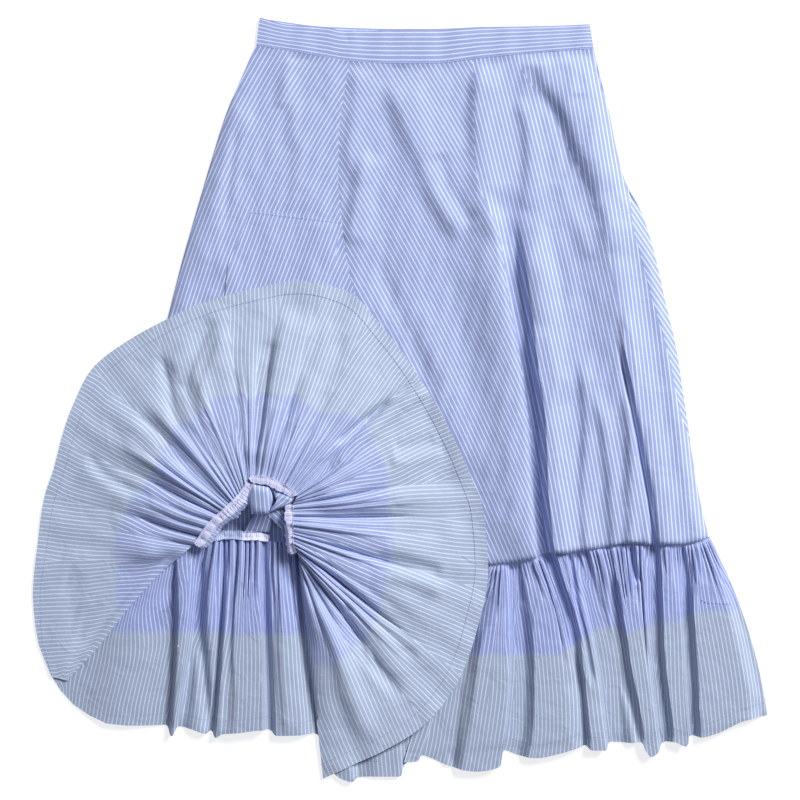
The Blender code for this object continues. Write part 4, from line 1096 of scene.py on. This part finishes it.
def inside_distance(points, ring):
    """The distance to a closed line, negative inside it."""
    closed = np.vstack([ring, ring[:1]])
    nearest, _, _ = nearest_line(points, closed)
    within = np.zeros(points.shape[:-1], bool)
    for a, b in zip(closed, closed[1:]):
        rises = (a[1] > points[..., 1]) != (b[1] > points[..., 1])
        cross = (b[0] - a[0]) * (points[..., 1] - a[1]) / (b[1] - a[1] + 1e-12) + a[0]
        within ^= rises & (points[..., 0] < cross)
    return np.where(within, -nearest, nearest)


def below_line(points, line_px):
    """How far each point lies below a line that is read from left to right."""
    line = to_mm(line_px)
    return np.interp(points[..., 0], line[:, 0], line[:, 1]) - points[..., 1]


def lay_ruffle(cad, found, low, look, on_heap=True):
    return lay(cad, found["points"], low, found["across"], found["depth"], look, found["dye"],
               on_heap=on_heap)


def hem_strip(cad, found, top, part, look):
    """The turned hem, a strip of the ruffle's own points moved out."""
    rows = np.flatnonzero(found["depth"].mean(axis=0) <= HEM_DEPTH + 1.2)
    rows = slice(rows[0], None)
    points = found["points"][part, rows]
    low = top[part, rows] + HEM_GAP
    across = tuple(side[part.start:part.stop - 1, rows] for side in found["across"])
    lifted = lay(cad, points, low, across, found["depth"][part, rows], look,
                 found["dye"][part, rows], HEM_WALL)
    stitch_lines[cad] = np.dstack([points, lifted])[:, 0]


def back_ruffle():
    found = ruffle(BACK_RUFFLE, BACK_VALLEYS, LOWER_RUFFLE_FOLDS, seed=21, steps=7, rows=90,
                   gather_height=6.0, bulge=1.0, fullness=1.25, deepen=1.2, tuck=4.0,
                   gathering=3.2, onsets=(0.3, 0.9))
    in_view = 1 - ease((found["points"][..., 0] - BACK_RUFFLE_UNDER_X) / 25)
    form = np.maximum(found["form"] * in_view, 0.2)
    low = np.maximum(heap.drape(found["points"], form, clear=0.4, give=0.4), 0.0)
    found["dye"] = below_line(found["points"], LOWER_PALE_PX) + found["dye_step"]
    top = lay_ruffle("ruffle_back", found, low, DEEP_SHADED_RUFFLE)
    stop = int(np.searchsorted(found["places"], place_on(found["hem"], to_mm(BACK_HEM_END_PX))))
    hem_strip("hem_back", found, top, slice(4, stop), DEEP_SHADED_RUFFLE)
    return found, top


def side_gore():
    seam = curve(to_mm(((629.5, 190), (631, 205)) + GORE_SEAM_PX), 110)
    fold = curve(to_mm(((630, 190),) + GORE_FOLD_PX), 110)
    down = np.linspace(0, 1, 14)[:, None, None]
    points = seam[None] * (1 - down) + fold[None] * down
    points[:, :, 0] -= 0.15 * (1 - down[..., 0])
    low = heap.drape(points, front_form(points), BODY_CLEAR, BODY_GIVE)
    field = stripe_field(GORE_LEANS)(points)
    return points, lay("side_gore", points, low, field, -points[..., 1], BODY, on_heap=False)


def centre_panel():
    """Three strips of one cloth that meet along its two main creases."""
    rows = 210
    join = curve(to_mm(FRONT_SEAM_PX + CENTRE_HIDDEN_EDGE_PX), rows)
    right = curve(to_mm(RIGHT_SIDE_PX + GORE_SEAM_PX + RUFFLE_SIDE_PX), rows)
    top = curve(to_mm(BAND_FOOT_PX[3:]) - (0, 0.4), 900)
    foot = curve(to_mm(CENTRE_PANEL_FOOT_PX), 900)
    folds = [curve(to_mm(line), rows) for line in (DEEP_FOLD_PX, LONG_VALLEY_PX)]
    sides = [join, *folds, right]
    tops = [0, *(place_on(top, line[0]) for line in folds), lengths_along(top)[-1]]
    feet = [0, *(place_on(foot, line[-1]) for line in folds), lengths_along(foot)[-1]]
    counts = (78, 74, 70)
    strips = []
    fields = []
    for k, leans in enumerate((LEFT_OF_FOLD_LEANS, MIDDLE_LEANS, RIGHT_OF_VALLEY_LEANS)):
        spacing = np.linspace(0, 1, counts[k])
        spacing = spacing - CLOSE_UP[k] * np.sin(2 * np.pi * spacing) / (2 * np.pi)
        across_top = along_curve(top, tops[k] + (tops[k + 1] - tops[k]) * spacing)
        across_foot = along_curve(foot, feet[k] + (feet[k + 1] - feet[k]) * spacing)
        a, b = sides[k].copy(), sides[k + 1].copy()
        a[0], b[0] = across_top[0], across_top[-1]
        a[-1], b[-1] = across_foot[0], across_foot[-1]
        strip = patch(a, b, across_top, across_foot, spacing)
        strips.append(strip if k == 0 else strip[1:])
        field = stripe_field(leans)(strip)
        fields.append((field[:-1], field[1:]))
    points = np.concatenate(strips)
    across = tuple(np.concatenate([field[side] for field in fields]) for side in (0, 1))
    low = heap.drape(points, front_form(points) - seam_dip(points), BODY_CLEAR, BODY_GIVE)
    return points, lay("front_centre_panel", points, low, across, -points[..., 1], BODY,
                       on_heap=False)


def left_panel():
    rows = 150
    join = curve(to_mm(FRONT_SEAM_PX), rows)
    left = curve(to_mm(LEFT_SIDE_PX), rows)
    top = curve(to_mm(BAND_FOOT_PX[:4]) - (0, 0.4), 76)
    foot = curve(to_mm(LEFT_PANEL_FOOT_PX), 76)
    left[0] = top[0]
    join[0] = top[-1]
    points = patch(left, join, top, foot)
    points[-1, :, 0] += 0.15
    low = heap.drape(points, front_form(points) - seam_dip(points), BODY_CLEAR, BODY_GIVE)
    across = stripe_field(LEFT_PANEL_LEANS)(points)
    return points, lay("front_left_panel", points, low, across, -points[..., 1], BODY,
                       on_heap=False)


def front_panels():
    laid = [side_gore(), centre_panel(), left_panel()]
    for points, lifted in laid:
        heap.add(points, lifted)


def seam_dip(points):
    """The small ditch along the front seam and the gore's seam."""
    dip = 0
    for line in (FRONT_SEAM_PX, GORE_SEAM_PX):
        nearest, _, _ = nearest_line(points, curve(to_mm(line), 20))
        dip = dip + 0.2 * np.exp(-((nearest / 1.6) ** 2))
    return dip


def pocket():
    rows = 60
    left = curve(to_mm(POCKET_LEFT_PX), rows)
    right = curve(to_mm(POCKET_RIGHT_PX), rows)
    across = np.linspace(0, 1, 56)[:, None, None]
    points = left[None] * (1 - across) + right[None] * across
    low = heap.drape(points, front_form(points), clear=0.12, give=0.15)
    down = np.linspace(0, 1, rows)[None]
    low = low + 0.15 * (down < POCKET_HEM_SHARE)
    field = stripe_field(POCKET_LEANS)(points)
    lifted = lay("pocket", points, low, field, -points[..., 1], BODY)
    stitch_lines["pocket"] = np.dstack([points, lifted])[1:-1, 1]


def front_ruffle():
    found = ruffle(FRONT_RUFFLE, FRONT_VALLEYS, RIGHT_RUFFLE_FOLDS, seed=34, steps=7, rows=104,
                   gather_height=6.5, bulge=0.0, fullness=1.15, deepen=1.5, tuck=3.0,
                   gathering=3.4, onsets=(0.16, 0.75))
    past_seam = found["depth"].max(axis=1, keepdims=True) - found["depth"]
    under = front_form(found["points"]) - 0.85
    form = under + (found["form"] - under) * ease((past_seam - 2) / 8)
    low = heap.drape(found["points"], form, clear=0.4, give=0.3)
    found["dye"] = below_line(found["points"], RIGHT_PALE_PX) + found["dye_step"]
    top = lay_ruffle("ruffle_front", found, low, DEEP_SHADED_RUFFLE, on_heap=False)
    row = int(np.argmin(np.abs(found["depth"].mean(axis=0) - HEM_DEPTH)))
    seen = slice(int(0.16 * len(top)), len(top) - 2)
    stitch_lines["hem_front"] = np.dstack([found["points"], top])[seen, row]
    return found, top


def bundle():
    """The body cloth drawn up under the fan."""
    directions = np.radians(np.arange(9) * 45)
    reach = np.array(BUNDLE_REACH_PX + BUNDLE_REACH_PX[:1], float)[:, None] * MM_PER_PX
    angles = np.linspace(0, 2 * np.pi, 161)
    out = np.sin(np.linspace(0.02, np.pi / 2, 56))[None]
    far = through(directions, reach, angles)
    flat = np.stack([np.cos(angles), np.sin(angles)], axis=-1)[:, None] * (far * out)[..., None]
    points = to_mm(BUNDLE_CENTRE_PX) + flat
    sink = ease(-inside_distance(points, to_mm(OPENING_PX)) / 8)
    low = 3.2 + BUNDLE_HEIGHT * (1 - out**2) ** BUNDLE_ROUND + 0 * far
    low = np.maximum(low - OPENING_SINK * sink, 1.6)
    low = low + ripple(points, BUNDLE_RIPPLE) * (1 - out)
    lay("hidden_bundle", points, low, points[..., 0], -points[..., 1], RUFFLE)


def fan():
    found = ruffle(FAN, FAN_VALLEYS, FAN_FOLDS, seed=55, steps=7, rows=106, gather_height=4.0,
                   bulge=3.5, onsets=(0.3, 0.86))
    uneven = wander(91, found["places"][:, None] / 24, 1.7 * found["t"])
    found["form"] = found["form"] + 1.5 * uneven * ease((found["t"] - 0.3) / 0.3)
    low = heap.drape(found["points"], found["form"])
    found["dye"] = inside_distance(found["points"], curve(to_mm(FAN_PALE_PX), 70)) + found["dye_step"]
    top = lay_ruffle("ruffle_fan", found, low, RUFFLE)
    hem_strip("hem_fan", found, top, slice(0, len(found["places"])), RUFFLE)
    return found, top


def allowance(cut, found, top, violet_and_shade_until_px=None):
    """The overlocked edge that stands in from a gathered seam, and the dark cloth edge past it."""
    points = found["points"]
    stops = [int(np.argmin(np.hypot(*(points[:, 0] - to_mm(spot)).T)))
             for spot in (cut.first_px, cut.last_px)]
    a, b = min(stops), max(stops) + 1
    seam = points[a:b, 0]
    along = evened(np.gradient(seam, axis=0), 10)
    inward = np.stack([-along[:, 1], along[:, 0]], axis=-1)
    inward /= np.linalg.norm(inward, axis=-1)[:, None] + 1e-9
    inward *= np.sign(np.sum(inward * (seam - points[a:b, 20])))
    deep = SEAM_ALLOWANCE + cut.dark_edge
    rows = 19
    steps = np.linspace(-0.8 / deep, 1, rows)[None]
    uneven = 1 + 0.10 * steps * wander(70 + a, np.arange(b - a) / 6.0, 0 * seam[:, 0])[:, None]
    ends = np.minimum(np.arange(b - a), np.arange(b - a)[::-1])[:, None]
    uneven = uneven * (0.75 + 0.25 * ease(ends / 4))
    strip = seam[:, None] + inward[:, None] * (deep * steps * uneven)[..., None]
    level = evened(top[a:b, 0:1], 14)
    relief = (top[a:b, 0:1] - level) * (1 - steps) * 0.35
    past = np.clip(steps * deep - SEAM_ALLOWANCE, 0, None)
    crimp = np.sin(lengths_along(seam) * 2.2)[:, None] * 0.5 * ease(past / 2)
    arch = np.sin(np.pi * np.clip(steps * deep / SEAM_ALLOWANCE, 0, 1))
    low = level + relief + 0.6 * arch + crimp
    low = low - 0.45 * past
    low = heap.drape(strip, low, clear=0.2, give=0.3)
    slant = 2.0 - 0.9 * ease(past[0] / 0.5)
    field = np.broadcast_to(lengths_along(seam)[:, None] * slant, low.shape)
    dye = 5 * (steps * deep - SEAM_ALLOWANCE - 0.5) - 4 + 0 * low
    # Left of the given point the allowance turns violet: partly bare cloth, partly painted shade from the
    # fan's allowance above.
    if violet_and_shade_until_px:
        dye = 4 * (to_mm(violet_and_shade_until_px)[0] - strip[..., 0])
    lifted = lay(cut.cad, strip, low, field, field, SERGED, dye)
    middle = int(rows * SEAM_ALLOWANCE * 0.5 / deep)
    stitch_lines[cut.cad] = np.dstack([strip, lifted])[:, middle]


def evened(rows, reach):
    """Rows of values with each one averaged over its neighbours."""
    wide = np.pad(rows, ((reach, reach), (0, 0)), "edge")
    return np.stack([np.convolve(wide[:, k], np.ones(2 * reach + 1) / (2 * reach + 1), "valid")
                     for k in range(rows.shape[1])], axis=-1)


def fold_of_tie(tie):
    """A fold of the tie between two side curves, full in the middle and rolled at its sides.

    Its levels are the heights that it lies at, at its start and at its end.
    """
    rows = 44
    left = curve(to_mm(tie.left_px), rows)
    right = curve(to_mm(tie.right_px), rows)
    f = np.linspace(0, 1, 40)[:, None]
    down = np.linspace(0, 1, rows)[None]
    points = left[None] * (1 - f[..., None]) + right[None] * f[..., None]
    points[..., 0] += tie.notch * np.exp(-(((f - 0.5) / 0.28) ** 2)) * (1 - down) ** 3
    ground = tie.levels[0] + (tie.levels[1] - tie.levels[0]) * ease(down)
    round_side = (1 - np.abs(2 * f - 1) ** 3) ** 0.55
    round_end = (1 - np.abs(2 * down - 1) ** 6) ** 0.6
    form = ground + tie.rise * round_side * round_end
    form = form + 0.22 * np.sin(9 * f + 2.5 * down) * round_end * round_side
    low = np.maximum(form, heap.read(heap.top, points) + 0.3)
    field = stripe_field(tie.leans)(points) + 1.5 * (1 - round_side)
    lay(tie.cad, points, blur_rows(low), field, -points[..., 1], BODY)


def blur_rows(low):
    """Evens out a grid a little, so that no single point stands up."""
    wide = np.pad(low, 1, "edge")
    return (4 * low + wide[:-2, 1:-1] + wide[2:, 1:-1] + wide[1:-1, :-2] + wide[1:-1, 2:]) / 8


def stitch_group():
    """Geometry Nodes: stitches of one length laid at one spacing along a line."""
    tree = bpy.data.node_groups.new("stitches along a line", "GeometryNodeTree")
    tree.interface.new_socket("Geometry", in_out="INPUT", socket_type="NodeSocketGeometry")
    sockets = {}
    for label in ("Spacing", "Length", "Thickness", "Turn"):
        sockets[label] = tree.interface.new_socket(label, in_out="INPUT", socket_type="NodeSocketFloat")
    sockets["Material"] = tree.interface.new_socket(
        "Material", in_out="INPUT", socket_type="NodeSocketMaterial"
    )
    tree.interface.new_socket("Geometry", in_out="OUTPUT", socket_type="NodeSocketGeometry")
    given = tree.nodes.new("NodeGroupInput").outputs
    as_curve = add_node(tree, "GeometryNodeMeshToCurve", {"Mesh": given["Geometry"]})
    spots = add_node(tree, "GeometryNodeCurveToPoints", {"Curve": as_curve.outputs[0],
                     "Length": given["Spacing"]}, mode="LENGTH")
    shape = add_node(tree, "GeometryNodeMeshIcoSphere", {"Radius": 0.5, "Subdivisions": 1})
    size = add_node(tree, "ShaderNodeCombineXYZ", {0: given["Thickness"], 1: given["Thickness"],
                    2: given["Length"]})
    facing = add_node(tree, "FunctionNodeAlignRotationToVector", {"Vector": spots.outputs["Tangent"]},
                      axis="Z")
    turn = add_node(tree, "ShaderNodeCombineXYZ", {2: given["Turn"]})
    turned = add_node(tree, "FunctionNodeRotateRotation", {"Rotation": facing.outputs[0]},
                      rotation_space="GLOBAL")
    to_turn = add_node(tree, "FunctionNodeEulerToRotation", {0: turn.outputs[0]})
    tree.links.new(to_turn.outputs[0], turned.inputs[1])
    copies = add_node(tree, "GeometryNodeInstanceOnPoints", {"Points": spots.outputs["Points"],
                      "Instance": shape.outputs[0], "Rotation": turned.outputs[0],
                      "Scale": size.outputs[0]})
    real = add_node(tree, "GeometryNodeRealizeInstances", {0: copies.outputs[0]})
    smooth = add_node(tree, "GeometryNodeSetShadeSmooth", {0: real.outputs[0]})
    dressed = add_node(tree, "GeometryNodeSetMaterial", {"Geometry": smooth.outputs[0],
                       "Material": given["Material"]})
    out = tree.nodes.new("NodeGroupOutput")
    tree.links.new(dressed.outputs[0], out.inputs[0])
    return tree, {label: socket.identifier for label, socket in sockets.items()}


def stitches(name, line, look, spacing=STITCH_SPACING, length=STITCH_LENGTH, width=STITCH_WIDTH,
             turn=0.0, lift=0.1):
    """One row of stitches along a line of points on the cloth."""
    line = np.asarray(line, float).copy()
    line[:, 2] += lift
    mesh = bpy.data.meshes.new(name)
    edges = [(i, i + 1) for i in range(len(line) - 1)]
    mesh.from_pydata([tuple(p / 1000) for p in line], edges, [])
    guide = bpy.data.objects.new(name + "_guide", mesh)
    bpy.context.scene.collection.objects.link(guide)
    tree, sockets = STITCH_GROUP
    modifier = guide.modifiers.new("stitches", "NODES")
    modifier.node_group = tree
    modifier[sockets["Spacing"]] = spacing / 1000
    modifier[sockets["Length"]] = length / 1000
    modifier[sockets["Thickness"]] = width / 1000
    modifier[sockets["Turn"]] = turn
    modifier[sockets["Material"]] = look
    guide.update_tag()
    bpy.context.view_layer.update()
    graph = bpy.context.evaluated_depsgraph_get()
    made_mesh = bpy.data.meshes.new_from_object(guide.evaluated_get(graph), depsgraph=graph)
    made_mesh.name = name
    made = bpy.data.objects.new(name, made_mesh)
    bpy.context.scene.collection.objects.link(made)
    bpy.data.objects.remove(guide, do_unlink=True)
    threads.append(made)


def surface_line(line_px, count=160):
    """A line of the photo laid on top of the heap."""
    plan = curve(to_mm(line_px), count)
    return np.column_stack([plan, heap.read(heap.top, plan)])


def sewing():
    """Hem stitches, seam stitches and overlock threads."""
    stitches("stitches_hem_fan", stitch_lines["hem_fan"], THREAD)
    stitches("stitches_hem_back", stitch_lines["hem_back"], THREAD)
    stitches("stitches_hem_front", stitch_lines["hem_front"], THREAD, width=0.34)
    stitches("stitches_ruffle_side", surface_line(SIDE_STITCH_PX, 30), THREAD, width=0.6, lift=0.5)
    seam_px = [line[:2] for line in FRONT_RUFFLE]
    stitches("stitches_front_seam", surface_line(seam_px, 400), THREAD, spacing=2.9, length=2.0,
             width=0.36, lift=0.2)
    stitches("stitches_pocket", stitch_lines["pocket"], THREAD, width=0.7)
    stitches("stitches_bar_tack", surface_line(BAR_TACK_PX, 20), OVERLOCK_LOOK, spacing=1.2,
             length=2.0, width=0.6)
    stitches("stitches_band_foot", surface_line(BAND_STITCH_PX, 300), THREAD)
    for cad in ("seam_fan_left", "seam_fan_top", "seam_fan_right", "seam_back"):
        line = stitch_lines[cad]
        if cad == "seam_back":
            line = line[line[:, 0] > to_mm(SERGED_FROM_PX)[0]]
        stitches("overlock_" + cad, line, OVERLOCK_LOOK, spacing=2.2, length=5.0, width=0.4,
                 turn=np.radians(68), lift=0.2)


def paper():
    """White paper under the skirt."""
    far = FLOOR_REACH_M
    corners = [(-far, -far, 0), (far, -far, 0), (far, far, 0), (-far, far, 0)]
    floor = bpy.data.meshes.new("floor")
    floor.from_pydata(corners, [], [(0, 1, 2, 3)])
    made = bpy.data.objects.new("floor", floor)
    made.location.z = -FLOOR_DROP_M
    bpy.context.scene.collection.objects.link(made)
    look = bpy.data.materials.new("white paper")
    look.use_nodes = True
    shader = look.node_tree.nodes["Principled BSDF"]
    shader.inputs["Base Color"].default_value = PAPER_GREY
    shader.inputs["Emission Color"].default_value = (1, 1, 1, 1)
    shader.inputs["Emission Strength"].default_value = PAPER_GLOW
    shader.inputs["Roughness"].default_value = 0.9
    floor.materials.append(look)


def light():
    """A soft even sky, and one lamp from the upper right."""
    world = bpy.data.worlds.new("studio")
    bpy.context.scene.world = world
    world.use_nodes = True
    sky = world.node_tree.nodes["Background"]
    sky.inputs["Color"].default_value = SKY
    sky.inputs["Strength"].default_value = SKY_STRENGTH

    lamp = bpy.data.lights.new("key", "AREA")
    lamp.energy = KEY_WATTS
    lamp.size = KEY_SIZE_M
    made = bpy.data.objects.new("key", lamp)
    made.location = KEY_PLACE_M
    way = Vector((0, 0, 0)) - Vector(KEY_PLACE_M)
    made.rotation_euler = way.to_track_quat("-Z", "Y").to_euler()
    bpy.context.scene.collection.objects.link(made)


def camera():
    """Straight above, just under two metres up, and as wide as the photo."""
    lens = bpy.data.cameras.new("camera")
    lens.lens = LENS
    lens.sensor_width = SENSOR
    wide = PHOTO_WIDTH_PX * MM_PER_PX / 1000
    made = bpy.data.objects.new("camera", lens)
    made.location = (0, CAMERA_Y_M, CLOTH_LEVEL_M + wide * lens.lens / lens.sensor_width)
    bpy.context.scene.collection.objects.link(made)
    bpy.context.scene.camera = made
    bpy.context.scene.view_settings.view_transform = "Standard"


def declare():
    """What each piece and thread rides on: all of them ride on the root."""
    for made in pieces.values():
        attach(made, "root")
    for made in threads:
        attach(made, "root")


heap = Heap()
pieces = {}
stitch_lines = {}
threads = []
BODY = shirting("striped shirting", VIOLET, VIOLET_STRIPE, PALE, PALE_STRIPE)
BAND_LOOK = shirting("waistband shirting", VIOLET, VIOLET_STRIPE, PALE, PALE_STRIPE, 0.15)
RUFFLE = shirting("ruffle shirting", VIOLET, VIOLET_STRIPE, PALE, PALE_STRIPE, 0.4)
# A darker copy of the ruffle shirting: painted shade on the lower, gathered layers, and partly the outer
# face's deeper colour on the front ruffle.
DEEP_SHADED_RUFFLE = shirting("ruffle shirting, deeper with painted shade", DEEP_SHADED_VIOLET, DEEP_SHADED_VIOLET_STRIPE, DEEP_SHADED_PALE,
                      DEEP_SHADED_PALE_STRIPE, 0.45)
SERGED = shirting("overlocked edge", OVERLOCK, OVERLOCK_STRIPE, VIOLET, VIOLET_STRIPE, 0.3)
OVERLOCK_LOOK = plain("overlock thread", OVERLOCK_THREAD)
THREAD = plain("stitch thread", STITCH)
STITCH_GROUP = stitch_group()

back_panel()
back_found, back_top = back_ruffle()
waistband()
front_found, front_top = front_ruffle()
front_panels()
# The front ruffle meets the panels edge to edge, so it joins the heap after them.
heap.add(front_found["points"], front_top)
pocket()
bundle()
fan_found, fan_top = fan()
allowance(BACK_ALLOWANCE, back_found, back_top, SERGED_FROM_PX)
for cut_of_fan in FAN_ALLOWANCES:
    allowance(cut_of_fan, fan_found, fan_top)
for tie_fold in TIE_FOLDS:
    fold_of_tie(tie_fold)
sewing()
paper()
light()
camera()
declare()
